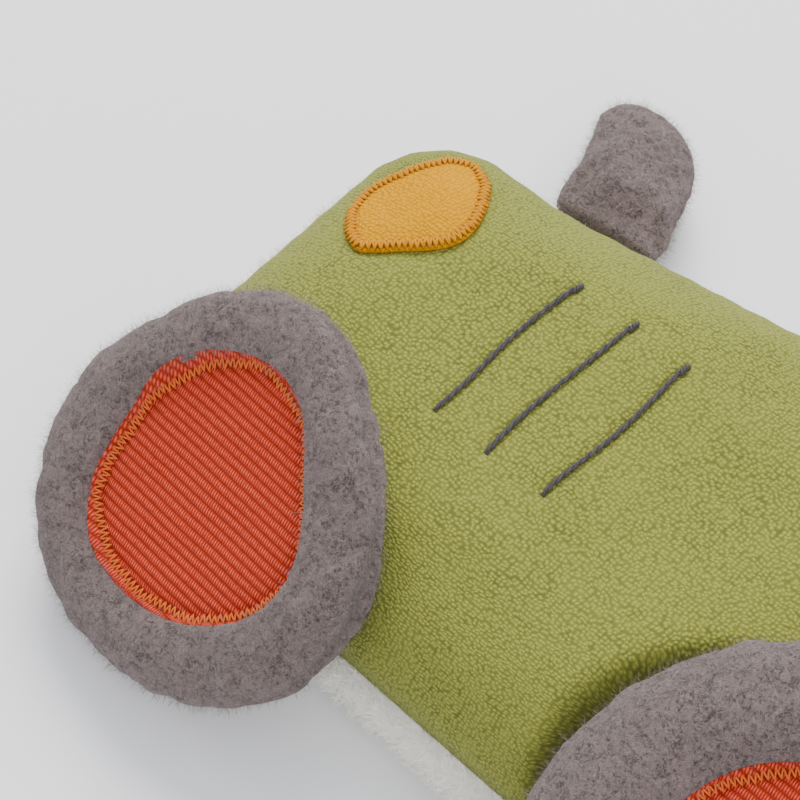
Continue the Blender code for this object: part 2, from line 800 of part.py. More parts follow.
def exhaust(parent):
    """A stuffed tab with a round end: two fleece covers and a filling."""
    half = EXHAUST_WIDTH / 2
    corners = [
        (-half, 0, EXHAUST_CORNER, True),
        (half, 0, EXHAUST_CORNER, True),
        (half, EXHAUST_LENGTH, half - EXHAUST_FLAT, True),
        (-half, EXHAUST_LENGTH, half - EXHAUST_FLAT, True),
    ]
    loop, flags = outline(corners)
    sewn = edges_of(loop, flags, True)
    inner_loop = outline(corners, FLEECE + GAP)[0]
    rings = [(inner_loop, True), (outline(corners, EXHAUST_RING)[0], False)]
    points, faces = triangles(loop, rings, lambda p, least=0.0: distance(p, sewn) > least, EXHAUST_GRID)
    inner = covered(points, faces, inner_loop)
    lean = Matrix.Identity(4)
    lean[0][1] = -tan(EXHAUST_LEAN)
    slope = Matrix.Rotation(EXHAUST_TURN, 4, "Z") @ Matrix.Rotation(-EXHAUST_DROOP, 4, "X")
    place = Matrix.Translation(exhaust_axis()) @ slope @ lean

    def thickness(x, y):
        share = min(1.0, distance(Vector((x, y)), sewn) / half)
        return EXHAUST_EDGE / 2 + (EXHAUST_THICKNESS - EXHAUST_EDGE) / 2 * sqrt(1 - (1 - share) ** 2)

    def cover(x, y, side):
        outer = thickness(x, y)
        inner_face = max(GAP / 2, outer - FLEECE)
        return (inner_face, outer) if side > 0 else (-outer, -inner_face)

    def filling(x, y):
        reach = thickness(x, y) - FLEECE - GAP
        return -reach, reach

    for name, colour, cover_faces, heights in (
        ("exhaust_front", "grey_fleece", faces, lambda x, y: cover(x, y, 1)),
        ("exhaust_back", "grey_fleece", faces, lambda x, y: cover(x, y, -1)),
        ("exhaust_filling", "wadding", inner, filling),
    ):
        shape = slab(points, cover_faces, heights)
        bmesh.ops.transform(shape, matrix=place, verts=shape.verts)
        add(name, shape, colour, parent)


def windscreen():
    """The windscreen's foot, its direction and the way that points off the body."""
    foot = Vector((BONNET_LENGTH + WINDSCREEN_FOOT, BONNET_REAR_HEIGHT))
    head = Vector((foot.x + WINDSCREEN_LEAN, CAB_HEIGHT))
    along = (head - foot).normalized()
    return foot, along, Vector((-along.y, along.x))


def label_axis():
    foot, along, outward = windscreen()
    place = foot + along * LABEL_HEIGHT + outward * (PLUSH_OVERHANG + LABEL_CLEARANCE)
    return place.x, place.y, SEAM_HEIGHT


def care_label(parent):
    """A blank tape label sewn into the windscreen's seam."""
    _, along, outward = windscreen()
    width, length, thickness = LABEL_SIZE
    place = Vector(label_axis())
    middle = place + (outward * (length / 2)).to_3d()
    shape = bmesh.new()
    bmesh.ops.create_cube(shape, size=1)
    turn = Matrix.Rotation(atan2(along.y, along.x), 4, "Z")
    scale = Matrix.Diagonal((width, length, thickness, 1))
    bmesh.ops.transform(shape, matrix=Matrix.Translation(middle) @ turn @ scale, verts=shape.verts)
    add("care_label", shape, "label_tape", parent)


def centre_on_origin():
    """Moves the puppet so that the centre of its box's bottom lies on the origin."""
    bpy.context.view_layer.update()
    corners = []
    for item in bpy.data.objects:
        if item.type == "MESH":
            corners.extend(item.matrix_world @ vertex.co for vertex in item.data.vertices)
    low = Vector(min(corner[axis] for corner in corners) for axis in range(3))
    high = Vector(max(corner[axis] for corner in corners) for axis in range(3))
    shift = Vector(((low.x + high.x) / 2, (low.y + high.y) / 2, low.z))
    for item in bpy.data.objects:
        if item.parent is None:
            item.location -= shift


def main():
    clear_scene()
    cab = pivot("cab_section", (0, 0, 0))
    bonnet = pivot("bonnet_bend", (BONNET_LENGTH, 0, FOLD_HEIGHT), cab)
    front_wheel = pivot("front_wheel_flap", wheel_axis(FRONT_WHEEL), bonnet)
    rear_wheel = pivot("rear_wheel_flap", wheel_axis(REAR_WHEEL), cab)
    exhaust_joint = pivot("exhaust_bend", exhaust_axis(), bonnet)
    label = pivot("label_flap", label_axis(), cab)
    section_layers("bonnet", bonnet_corners(), bonnet_corners(PLUSH_OVERHANG), -1, bonnet)
    section_layers("cab", cab_corners(), cab_corners(PLUSH_OVERHANG), 1, cab)
    hems(cab)
    headlight(bonnet)
    grille(bonnet)
    window(cab)
    stuffed_wheel("front", FRONT_WHEEL, front_wheel)
    stuffed_wheel("rear", REAR_WHEEL, rear_wheel)
    tack("front_wheel_tack", FRONT_WHEEL, bonnet)
    tack("rear_wheel_tack", REAR_WHEEL, cab)
    exhaust(exhaust_joint)
    care_label(label)
    centre_on_origin()


main()
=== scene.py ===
"""Looks of a tractor-shaped hand puppet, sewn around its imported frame.

The puppet lies on its plush back. Design places are (x, y) in metres: x runs from the bonnet's front edge to
the opening for the hand, y from the bottom seam up to the roof. ORIGIN moves them to the frame's own place.
"""

import json
from math import atan2, ceil, cos, pi, radians, sin, tan

import bpy
import numpy as np
from bpy.props import FloatProperty, FloatVectorProperty, IntProperty, PointerProperty
from mathutils import Matrix, Vector
from mathutils import noise as solid_noise
from mathutils.geometry import delaunay_2d_cdt


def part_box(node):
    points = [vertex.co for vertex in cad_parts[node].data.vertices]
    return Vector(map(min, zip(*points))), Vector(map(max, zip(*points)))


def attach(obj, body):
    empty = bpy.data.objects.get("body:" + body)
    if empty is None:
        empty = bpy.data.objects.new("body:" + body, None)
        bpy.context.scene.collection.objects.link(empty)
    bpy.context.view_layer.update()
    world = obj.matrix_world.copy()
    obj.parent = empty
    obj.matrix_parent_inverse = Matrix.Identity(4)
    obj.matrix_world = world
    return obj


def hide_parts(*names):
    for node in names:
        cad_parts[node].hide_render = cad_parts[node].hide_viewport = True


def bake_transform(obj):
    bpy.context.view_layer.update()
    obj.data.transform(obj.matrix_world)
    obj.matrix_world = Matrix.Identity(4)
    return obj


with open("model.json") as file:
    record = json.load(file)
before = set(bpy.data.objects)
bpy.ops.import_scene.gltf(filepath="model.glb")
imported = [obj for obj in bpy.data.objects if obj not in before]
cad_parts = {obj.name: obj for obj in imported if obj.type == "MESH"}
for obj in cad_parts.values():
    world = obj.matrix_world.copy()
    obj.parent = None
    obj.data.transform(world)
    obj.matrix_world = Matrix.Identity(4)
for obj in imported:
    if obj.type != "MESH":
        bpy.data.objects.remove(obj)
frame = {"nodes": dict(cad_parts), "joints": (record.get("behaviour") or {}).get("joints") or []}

bl_info = {
    "name": "Tractor Hand Puppet",
    "version": (1, 0, 0),
    "blender": (4, 5, 0),
    "location": "3D View > Sidebar > Puppet",
    "description": "Sews a tractor-shaped hand puppet from velour, plush and stuffed fleece",
    "category": "Add Mesh",
}

MM = 0.001

# The frame: its joints and its origin in design places
JOINTS = {joint["name"]: joint for joint in frame["joints"]}
FOLD = Vector(JOINTS["bonnet_bend"]["pos_m"])
BONNET_LENGTH = 105 * MM
ORIGIN = Vector((FOLD.x - BONNET_LENGTH, FOLD.y, 0))
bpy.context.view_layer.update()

# The body's outline and section
MOUTH_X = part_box("cab_front_panel")[1].x - ORIGIN.x
CAB_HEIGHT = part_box("cab_front_panel")[1].y - ORIGIN.y
BODY_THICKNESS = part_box("cab_front_panel")[1].z
BONNET_FRONT_HEIGHT = 90.5 * MM
BONNET_REAR_HEIGHT = 107 * MM
BROW = (34 * MM, 91.8 * MM)
NOSE_RADIUS = 20 * MM
CHIN = (2 * MM, 16 * MM)  # how far it is set back, and its radius
ROOF_RADIUS = 14 * MM
WINDSCREEN = (12 * MM, 16 * MM, 10 * MM)  # its foot behind the fold, its lean and its foot's radius
MOUTH = (14 * MM, 152 * MM)
SEAM_HEIGHT = 14 * MM
SHOULDER = 29 * MM
LINING_INSET = 6.5 * MM
HAND_SPACE = 13.2 * MM
HAND_SHOULDER = 12 * MM
LAYERS_FRONT = 5.1 * MM  # velour, wadding and lining over the hand, at their thinnest
LAYERS_BACK = 8.4 * MM
TABLE_CLEAR = 0.1 * MM  # how far above the table the lowest fibres lie

# How the stuffed pieces are blown up
SIMULATED_FRAMES = 20
PRESSURE = 3.0
CLOTH_SETTINGS = {
    "quality": 6, "mass": 0.2, "tension_stiffness": 12, "compression_stiffness": 12, "shear_stiffness": 6,
    "bending_stiffness": 1.5, "use_pressure": True, "uniform_pressure_force": PRESSURE,
    "vertex_group_mass": "held",
}


# Helpers ---------------------------------------------------------------------------------------------


def settings():
    return bpy.context.scene.puppet


def smooth(low, high, value):
    share = np.clip((value - low) / (high - low), 0, 1)
    return share * share * (3 - 2 * share)


def ripple(points, length, seed):
    """Gentle unevenness from -1 to 1 over flat points, repeating nowhere near within the puppet."""
    total = np.zeros(len(points))
    for turn in range(4):
        angle = seed * 1.7 + turn * 2.4
        stretch = 1 + 0.37 * turn
        along = points[:, 0] * cos(angle) + points[:, 1] * sin(angle)
        total += np.sin(along * 2 * pi * stretch / length + seed * 3.1 + turn * 1.3)
    return total / 4


def to_mesh(name, points, faces, finish=None, uvs=None):
    """A smooth mesh object at the origin, from points in the frame's own metres."""
    mesh = bpy.data.meshes.new(name)
    mesh.from_pydata([tuple(point) for point in points], [], [tuple(face) for face in faces])
    mesh.validate()
    mesh.shade_smooth()
    if uvs is not None:
        layer = mesh.uv_layers.new(name="UVMap")
        corners = np.zeros(len(mesh.loops), np.int32)
        mesh.loops.foreach_get("vertex_index", corners)
        layer.data.foreach_set("uv", np.asarray(uvs, np.float32)[corners].ravel())
    if finish:
        mesh.materials.append(finish)
    item = bpy.data.objects.new(name, mesh)
    bpy.context.scene.collection.objects.link(item)
    return item


def places(points, heights):
    """Design places with heights, in the frame's own metres."""
    points = np.asarray(points, float)
    return np.column_stack([points[:, 0] + ORIGIN.x, points[:, 1] + ORIGIN.y, heights])


def vertices(item):
    found = np.zeros(len(item.data.vertices) * 3, np.float32)
    item.data.vertices.foreach_get("co", found)
    return found.reshape(-1, 3).astype(float)


def normals_of(item):
    found = np.zeros(len(item.data.vertices) * 3, np.float32)
    item.data.vertices.foreach_get("normal", found)
    return found.reshape(-1, 3)


def move_vertices(item, points):
    item.data.vertices.foreach_set("co", np.asarray(points, np.float32).ravel())
    item.data.update()


def applied(item):
    """Replaces an object's mesh with its evaluated one and removes its modifiers."""
    depsgraph = bpy.context.evaluated_depsgraph_get()
    mesh = bpy.data.meshes.new_from_object(item.evaluated_get(depsgraph), depsgraph=depsgraph)
    item.modifiers.clear()
    old = item.data
    item.data = mesh
    bpy.data.meshes.remove(old)
    item.data.shade_smooth()
    return item


def thicken(item, thickness, offset=-1):
    solid = item.modifiers.new("Thickness", "SOLIDIFY")
    solid.thickness = thickness
    solid.offset = offset
    solid.use_even_offset = False
    solid.use_rim = True
    return applied(item)


def subdivide(item, levels=1):
    finer = item.modifiers.new("Finer", "SUBSURF")
    finer.levels = levels
    finer.render_levels = levels
    return applied(item)


def inflate(item, held, slack, limit):
    """Blows a stuffed piece up as cloth; held is each point's hold on its place, limit how far one may go."""
    rest = vertices(item)
    group = item.vertex_groups.new(name="held")
    for index, weight in enumerate(held):
        group.add([index], float(weight), "REPLACE")
    cloth = item.modifiers.new("Cloth", "CLOTH")
    for name, value in CLOTH_SETTINGS.items():
        setattr(cloth.settings, name, value)
    cloth.settings.shrink_min = -slack
    cloth.settings.effector_weights.gravity = 0
    cloth.point_cache.frame_start = 1
    cloth.point_cache.frame_end = SIMULATED_FRAMES
    scene = bpy.context.scene
    for step in range(1, SIMULATED_FRAMES + 1):
        scene.frame_set(step)
    depsgraph = bpy.context.evaluated_depsgraph_get()
    blown = item.evaluated_get(depsgraph).to_mesh()
    found = np.zeros(len(blown.vertices) * 3, np.float32)
    blown.vertices.foreach_get("co", found)
    item.evaluated_get(depsgraph).to_mesh_clear()
    item.modifiers.clear()
    item.vertex_groups.clear()
    scene.frame_set(1)
    moved = found.reshape(-1, 3) - rest
    length = np.maximum(np.linalg.norm(moved, axis=1), 1e-9)
    moved *= (limit * np.tanh(length / limit) / length)[:, None]
    move_vertices(item, rest + moved)
    return item


def finished(item, body, replaced=()):
    """Puts a finished piece on its body and hides the frame's parts that it replaces."""
    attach(item, body)
    if replaced:
        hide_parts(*replaced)
    return item


def folded(item, replaced=()):
    """Bakes the place of a piece that spans the cab and the bonnet into its mesh, and hides the frame's parts
    that it replaces.
    """
    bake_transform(item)
    if replaced:
        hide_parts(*replaced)
    return item


# Outlines --------------------------------------------------------------------------------------------


def rounded_loop(corners, step):
    """An anticlockwise outline from (x, y, radius) corners, with a point about every step."""
    points = []
    for index, (x, y, radius) in enumerate(corners):
        corner = Vector((x, y))
        back = (Vector(corners[index - 1][:2]) - corner).normalized()
        ahead = (Vector(corners[(index + 1) % len(corners)][:2]) - corner).normalized()
        half = back.angle(ahead) / 2
        if radius <= 0:
            points.append(corner)
            continue
        centre = corner + (back + ahead).normalized() * (radius / sin(half))
        first = corner + back * (radius / tan(half)) - centre
        last = corner + ahead * (radius / tan(half)) - centre
        sweep = atan2(first.x * last.y - first.y * last.x, first.dot(last))
        steps = max(2, ceil(abs(sweep) * radius / step))
        for part in range(steps + 1):
            points.append(centre + Matrix.Rotation(sweep * part / steps, 2) @ first)
    dense = []
    for index, point in enumerate(points):
        along = points[(index + 1) % len(points)] - point
        pieces = max(1, round(along.length / step))
        dense.extend(point + along * (part / pieces) for part in range(pieces))
    return np.array([tuple(point) for point in dense])


def smooth_loop(points, count):
    """A closed smooth curve through a few points."""
    points = np.asarray(points, float)
    total = len(points)
    result = []
    for step in range(count):
        place = step * total / count
        index = int(place)
        share = place - index
        before, start, end, after = (points[(index + k) % total] for k in (-1, 0, 1, 2))
        result.append(
            0.5 * (
                2 * start + (end - before) * share
                + (2 * before - 5 * start + 4 * end - after) * share ** 2
                + (3 * start - before - 3 * end + after) * share ** 3
            )
        )
    return np.array(result)


def outward(loop):
    """The direction out of an anticlockwise loop at each of its points."""
    along = np.roll(loop, -1, axis=0) - np.roll(loop, 1, axis=0)
    along /= np.linalg.norm(along, axis=1)[:, None]
    return np.column_stack([along[:, 1], -along[:, 0]])


def length_of(loop, closed=True):
    ends = np.roll(loop, -1, axis=0) if closed else loop[1:]
    starts = loop if closed else loop[:-1]
    return float(np.linalg.norm(ends - starts, axis=1).sum())


def within(points, loop):
    """Which points lie inside a closed loop."""
    found = np.zeros(len(points), bool)
    for start, end in zip(loop, np.roll(loop, -1, axis=0)):
        crosses = (start[1] > points[:, 1]) != (end[1] > points[:, 1])
        rise = end[1] - start[1]
        at = start[0] + (points[:, 1] - start[1]) * (end[0] - start[0]) / (rise if rise else 1)
        found ^= crosses & (points[:, 0] < at)
    return found


def nearest(points, starts, ends):
    """Each point's distance from the nearest of some straight edges, and that edge's number and share."""
    best = np.full(len(points), 1e9)
    number = np.zeros(len(points), int)
    place = np.zeros(len(points))
    for index, (start, end) in enumerate(zip(starts, ends)):
        along = end - start
        share = np.clip((points - start) @ along / max(along @ along, 1e-12), 0, 1)
        gap = np.linalg.norm(points - start - share[:, None] * along, axis=1)
        closer = gap < best
        best[closer] = gap[closer]
        number[closer] = index
        place[closer] = share[closer]
    return best, number, place


def body_corners():
    """The puppet's whole sewn outline."""
    foot = BONNET_LENGTH + WINDSCREEN[0]
    return [
        (CHIN[0], 0, CHIN[1]),
        (MOUTH_X, 0, ROOF_RADIUS / 2),
        (MOUTH_X, MOUTH[0], 0),
        (MOUTH_X, MOUTH[1], 0),
        (MOUTH_X, CAB_HEIGHT, ROOF_RADIUS),
        (foot + WINDSCREEN[1], CAB_HEIGHT, ROOF_RADIUS),
        (foot, BONNET_REAR_HEIGHT, WINDSCREEN[2]),
        (BONNET_LENGTH, BONNET_REAR_HEIGHT, 0),
        (BROW[0], BROW[1], 80 * MM),
        (0, BONNET_FRONT_HEIGHT, NOSE_RADIUS),
    ]


def flat_mesh(loop, rings, step, extra=None):
    """Points and triangles that fill a loop: the loop, rings of points inside it and a grid."""
    points = list(loop)
    edges = [(index, (index + 1) % len(loop)) for index in range(len(loop))]
    inner = loop
    for inset in rings:
        inner = loop - outward(loop) * inset
        start = len(points)
        points.extend(inner)
        edges.extend((start + i, start + (i + 1) % len(inner)) for i in range(len(inner)))
    low, high = loop.min(axis=0), loop.max(axis=0)
    columns = np.arange(low[0], high[0], step)
    rows = np.arange(low[1], high[1], step * 0.87)
    across, up = np.meshgrid(columns, rows)
    across = across + (np.arange(len(rows)) % 2)[:, None] * step / 2
    grid = np.column_stack([across.ravel(), up.ravel()])
    if extra is not None:
        apart = np.linalg.norm(grid[:, None] - extra[None, ::4], axis=2).min(axis=1)
        grid = np.vstack([grid[apart > step * 0.7], extra])
    gap, _, _ = nearest(grid, inner, np.roll(inner, -1, axis=0))
    grid = grid[within(grid, inner) & (gap > step * 0.45)]
    points.extend(grid)
    found = delaunay_2d_cdt([Vector(point) for point in points], edges, [list(range(len(loop)))], 1, 1e-7)
    flat = np.array([tuple(point) for point in found[0]])
    faces = [tuple(face) for face in found[2]]
    sides = []
    for a, b, c in faces:
        ahead, aside = flat[b] - flat[a], flat[c] - flat[a]
        turn = ahead[0] * aside[1] - ahead[1] * aside[0]
        sides.append((a, b, c) if turn > 0 else (a, c, b))
    ring = {given: index for index, origins in enumerate(found[3]) for given in origins}
    return flat, sides, [ring[index] for index in range(len(loop))]


# The frame's wheels ----------------------------------------------------------------------------------


class Wheel:
    """A wheel's place and sizes, read from its solids in the frame."""

    def __init__(self, name, lumps, hub_lumps):
        self.name = name
        hub = vertices(frame["nodes"][f"{name}_hub_patch"])
        face = vertices(frame["nodes"][f"{name}_wheel_face"])
        back = vertices(frame["nodes"][f"{name}_wheel_back"])
        middle = hub.mean(axis=0)
        _, _, axes = np.linalg.svd(hub - middle)
        out = axes[2] * np.sign(axes[2][2])
        across = np.array([1, 0, 0]) - out * out[0]
        across /= np.linalg.norm(across)
        self.turn = np.array([across, np.cross(out, across), out])
        round_face = (face - middle) @ self.turn.T
        middle = middle + (round_face.min(axis=0) + round_face.max(axis=0))[:2] / 2 @ self.turn[:2]
        round_face = (face - middle) @ self.turn.T
        reach = np.hypot(round_face[:, 0], round_face[:, 1])
        self.centre = middle + self.turn[2] * round_face[reach > reach.max() - 0.2 * MM][:, 2].mean()
        self.radius = float(reach.max())
        stitches = vertices(frame["nodes"][f"{name}_hub_stitching"])
        self.hub = float(np.linalg.norm(self.local(stitches)[:, :2], axis=1).max())
        self.tyre = float(self.local(face)[:, 2].max())
        self.tyre_back = float(-self.local(back)[:, 2].min())
        self.floor = float(self.local(hub)[:, 2].max())
        self.lumps = lumps
        self.hub_lumps = hub_lumps

    def local(self, points):
        return (np.asarray(points) - self.centre) @ self.turn.T

    def placed(self, points):
        return np.asarray(points) @ self.turn + self.centre

    @staticmethod
    def uneven(angle, lumps):
        total = np.zeros_like(np.asarray(angle, float))
        for order, size, peak in lumps:
            total += size * np.cos(order * angle - radians(peak))
        return total

    def rim(self, angle):
        return self.radius + self.uneven(angle, self.lumps)

    def eye(self, angle):
        """The hub patch's edge."""
        return self.hub + self.uneven(angle, self.hub_lumps)


# Each lump is (how many round the wheel, its height, the angle of its peak times that number)
WHEELS = {
    "front": Wheel(
        "front",
        [(0, -1.2 * MM, 0), (1, 0.8 * MM, 31), (2, 0.65 * MM, -87), (3, 1.45 * MM, -67), (4, 0.5 * MM, 22),
         (5, 0.5 * MM, 129)],
        [(0, 0.0 * MM, 0), (1, 2.2 * MM, 46), (2, 0.55 * MM, 200), (3, 1.3 * MM, -50), (4, 0.3 * MM, -12),
         (5, 0.3 * MM, 16)],
    ),
    "rear": Wheel(
        "rear",
        [(2, 0.7 * MM, 30), (3, 0.5 * MM, 110), (5, 0.4 * MM, 60), (8, 0.25 * MM, 10)],
        [(2, 0.6 * MM, 80), (3, 0.5 * MM, 10), (5, 0.5 * MM, 40)],
    ),
}


# The body's layers -----------------------------------------------------------------------------------

BODY_STEP = 2.2 * MM
BODY_LOOP = rounded_loop(body_corners(), BODY_STEP)
OUT = outward(BODY_LOOP)
MIDDLES = (BODY_LOOP + np.roll(BODY_LOOP, -1, axis=0)) / 2
AT_MOUTH = (MIDDLES[:, 1] > MOUTH[0]) & (MIDDLES[:, 1] < MOUTH[1])
SEWN = ~((np.abs(MIDDLES[:, 0] - MOUTH_X) < 0.1 * MM) & AT_MOUTH)
PRESSED_RIM = 1.5 * MM
PRESSED_SLOPE = 2.2  # of the panel where it rises again beside a wheel

# Hollows in the front panel: (x, y, reach, depth)
HOLLOWS = [
    (8 * MM, 76 * MM, 15 * MM, 3.0 * MM),
    (92 * MM, 86 * MM, 13 * MM, 1.5 * MM),
    (104 * MM, 58 * MM, 17 * MM, 1.3 * MM),
    (88 * MM, 22 * MM, 13 * MM, 1.0 * MM),
    (64 * MM, 15 * MM, 11 * MM, 0.7 * MM),
    (37 * MM, 60 * MM, 12 * MM, 0.5 * MM),
    (140 * MM, 104 * MM, 16 * MM, 1.4 * MM),
    (187 * MM, 96 * MM, 18 * MM, 1.2 * MM),
    (146 * MM, 160 * MM, 13 * MM, 0.8 * MM),
]


def pressed(points):
    """The height that the wheels leave for the front panel."""
    height = np.full(len(points), 1.0)
    world = places(points, np.zeros(len(points)))
    for wheel in WHEELS.values():
        out = wheel.turn[2]
        depth = wheel.tyre_back + 0.5 * MM
        world[:, 2] = 0
        world[:, 2] = (wheel.centre @ out - depth - world @ out) / out[2]
        reach = np.linalg.norm(wheel.local(world)[:, :2], axis=1)
        rise = PRESSED_SLOPE * np.maximum(0, reach - wheel.radius - PRESSED_RIM)
        height = np.minimum(height, world[:, 2] + rise)
    return height


def seam_reach(points):
    """Distance from the nearest sewn edge, and how far along the seams its nearest place lies."""
    starts, ends = BODY_LOOP[SEWN], np.roll(BODY_LOOP, -1, axis=0)[SEWN]
    gap, number, share = nearest(points, starts, ends)
    return gap, (number + share) * BODY_STEP


def swell(reach):
    return np.sqrt(1 - (1 - np.clip(reach / SHOULDER, 0, 1)) ** 2)


def front_height(points, detail=True):
    points = np.asarray(points, float)
    reach, along = seam_reach(points)
    edge = SEAM_HEIGHT + 0.2 * MM
    height = edge + (BODY_THICKNESS - edge) * swell(reach)
    inner = smooth(2 * MM, 16 * MM, reach)
    for x, y, size, depth in HOLLOWS:
        away = np.hypot(points[:, 0] - x, points[:, 1] - y) / size
        height -= depth * np.exp(-away ** 2) * inner
    height += 0.3 * MM * ripple(points, 34 * MM, 2) * inner
    pucker = np.sin(along * 2 * pi / (8.5 * MM) + 1.6 * np.sin(along / (17 * MM)))
    height += 0.34 * MM * pucker * np.exp(-reach / (5 * MM)) * smooth(0, 2 * MM, reach)
    limit = np.maximum(pressed(points), edge + 0.2 * MM)
    ease = 0.8 * MM
    height = -ease * np.log(np.exp(-(height - edge) / ease) + np.exp(-(limit - edge) / ease)) + edge
    if detail:
        for x, low, high in GRILLE_LINES:
            beside = (points[:, 0] - grille_x(x, points[:, 1], low, high)) / (1.3 * MM)
            ends = smooth(low - 2 * MM, low, points[:, 1]) * (1 - smooth(high, high + 2 * MM, points[:, 1]))
            height -= 0.55 * MM * np.exp(-beside ** 2) * ends
        for loop in (HEADLIGHT, window_loop()):
            gap, _, _ = nearest(points, loop, np.roll(loop, -1, axis=0))
            height -= 0.45 * MM * np.exp(-(gap / (1.6 * MM)) ** 2)
    return height


def back_height(points):
    """The plush panel's underside, pressed flat by the table within its rounded edge."""
    reach, _ = seam_reach(np.asarray(points, float))
    return 3.4 * MM * (1 - swell(reach * 1.25)) + 0.1 * MM


def hand_heights(points):
    """The hand space's floor and ceiling."""
    reach, _ = seam_reach(np.asarray(points, float))
    share = np.clip((reach - LINING_INSET) / HAND_SHOULDER, 0, 1)
    half = HAND_SPACE / 2 * np.sqrt(1 - (1 - share) ** 2)
    ceiling = front_height(points, False) - LAYERS_FRONT
    floor = back_height(points) + LAYERS_BACK
    half = np.maximum(0, np.minimum(half, (ceiling - floor) / 2))
    middle = np.minimum(BODY_THICKNESS / 2 + 1 * MM, ceiling - half)
    middle = np.maximum(middle, floor + half)
    return middle - half, middle + half


# Finishes --------------------------------------------------------------------------------------------


def add_node(tree, kind, inputs=None, **options):
    """A node with its options set and its inputs linked or filled; an input is a name or a number."""
    made = tree.nodes.new(kind)
    for name, value in options.items():
        setattr(made, name, value)
    for name, value in (inputs or {}).items():
        if isinstance(name, int):
            socket = made.inputs[name]
        else:
            socket = next(found for found in made.inputs if found.name == name and found.enabled)
        if isinstance(value, bpy.types.NodeSocket):
            tree.links.new(value, socket)
        else:
            socket.default_value = value
    return made


def given(node, name="Value"):
    """The output of a node that is in use under a name."""
    return next(found for found in node.outputs if found.name == name and found.enabled)


def maths(tree, operation, first, second=0.0):
    return add_node(tree, "ShaderNodeMath", {0: first, 1: second}, operation=operation).outputs[0]


def vector_maths(tree, operation, first, second):
    return add_node(tree, "ShaderNodeVectorMath", {0: first, 1: second}, operation=operation).outputs[0]


def combined(tree, x=0.0, y=0.0, z=0.0):
    return add_node(tree, "ShaderNodeCombineXYZ", {0: x, 1: y, 2: z}).outputs[0]


def shader_group(name, *sizes):
    """An empty shader node group with a cloth's sockets and its own sizes, and its inputs."""
    tree = bpy.data.node_groups.new(name, "ShaderNodeTree")
    tree.interface.new_socket(name="Vector", in_out="INPUT", socket_type="NodeSocketVector")
    for title in ("Base", "Dark", "Light"):
        tree.interface.new_socket(name=title, in_out="INPUT", socket_type="NodeSocketColor")
    for title, default in sizes:
        socket = tree.interface.new_socket(name=title, in_out="INPUT", socket_type="NodeSocketFloat")
        socket.default_value = default
    tree.interface.new_socket(name="Color", in_out="OUTPUT", socket_type="NodeSocketColor")
    tree.interface.new_socket(name="Height", in_out="OUTPUT", socket_type="NodeSocketFloat")
    return tree, tree.nodes.new("NodeGroupInput").outputs


def close_group(tree, colour, height):
    end = tree.nodes.new("NodeGroupOutput")
    tree.links.new(colour, end.inputs["Color"])
    tree.links.new(height, end.inputs["Height"])
    return tree


def mixed(tree, share, first, second, blend="MIX"):
    """One colour mixed into another by a share."""
    node = add_node(tree, "ShaderNodeMix", {0: share}, data_type="RGBA", blend_type=blend)
    tree.links.new(first, node.inputs[6])
    tree.links.new(second, node.inputs[7])
    return node.outputs[2]


def noise(tree, vector, scale, detail=2.0, roughness=0.5, distortion=0.0):
    return add_node(tree, "ShaderNodeTexNoise", {
        "Vector": vector, "Scale": scale, "Detail": detail, "Roughness": roughness,
        "Distortion": distortion,
    }).outputs[0]


def ranged(tree, value, low, high):
    """Stretches a value so that low becomes 0 and high 1."""
    return add_node(tree, "ShaderNodeMapRange", {0: value, 1: low, 2: high, 3: 0.0, 4: 1.0}).outputs[0]


def make_nap_group():
    """Short pile over a woven ground: tufts in a grid, brushed this way and that."""
    tree, start = shader_group("Woven nap", ("Pitch", 1.0))
    place = start["Vector"]
    sway = add_node(tree, "ShaderNodeTexNoise", {"Vector": place, "Scale": 0.22, "Detail": 1.0})
    moved = vector_maths(tree, "MULTIPLY", sway.outputs[1], (1.5, 1.5, 0.0))
    warped = vector_maths(tree, "ADD", place, moved)
    scale = maths(tree, "DIVIDE", 1.0, start["Pitch"])
    tufts = add_node(tree, "ShaderNodeTexVoronoi", {
        "Vector": warped, "Scale": scale, "Randomness": 0.62,
    }, feature="F1", voronoi_dimensions="2D")
    tuft = ranged(tree, tufts.outputs["Distance"], 0.62, 0.0)
    fine = noise(tree, place, 2.2, 2.0, 0.6)
    broad = noise(tree, place, 0.055, 3.0, 0.5)
    brushed = noise(tree, place, 0.32, 2.0, 0.55, 0.6)
    light = maths(tree, "MULTIPLY", tuft, ranged(tree, fine, 0.18, 0.62))
    shade = mixed(tree, light, start["Dark"], start["Light"])
    patchy = mixed(tree, ranged(tree, brushed, 0.34, 0.68), start["Base"], shade)
    half = mixed(tree, 0.35, shade, patchy)
    colour = mixed(tree, maths(tree, "MULTIPLY", ranged(tree, broad, 0.4, 0.75), 0.28), half, start["Base"])
    height = maths(tree, "ADD", maths(tree, "MULTIPLY", tuft, 0.9), maths(tree, "MULTIPLY", fine, 0.35))
    return close_group(tree, colour, height)


def make_wool_group():
    """Felted wool: darker and lighter fibres in clouds, with a matted surface."""
    tree, start = shader_group("Felted wool", ("Clouds", 0.4))
    place = start["Vector"]
    clouds = noise(tree, place, start["Clouds"], 4.0, 0.6, 1.2)
    flecks = noise(tree, place, 1.1, 3.0, 0.65, 2.4)
    fibres = noise(tree, place, 3.4, 2.0, 0.6, 3.0)
    dark = mixed(tree, ranged(tree, clouds, 0.42, 0.54), start["Dark"], start["Base"])
    light = mixed(tree, maths(tree, "MULTIPLY", ranged(tree, flecks, 0.44, 0.66), 0.85), dark, start["Light"])
    deep = mixed(tree, maths(tree, "MULTIPLY", ranged(tree, fibres, 0.5, 0.34), 0.55), light, start["Dark"])
    height = maths(tree, "ADD", maths(tree, "MULTIPLY", flecks, 0.7), maths(tree, "MULTIPLY", fibres, 0.4))
    return close_group(tree, deep, height)


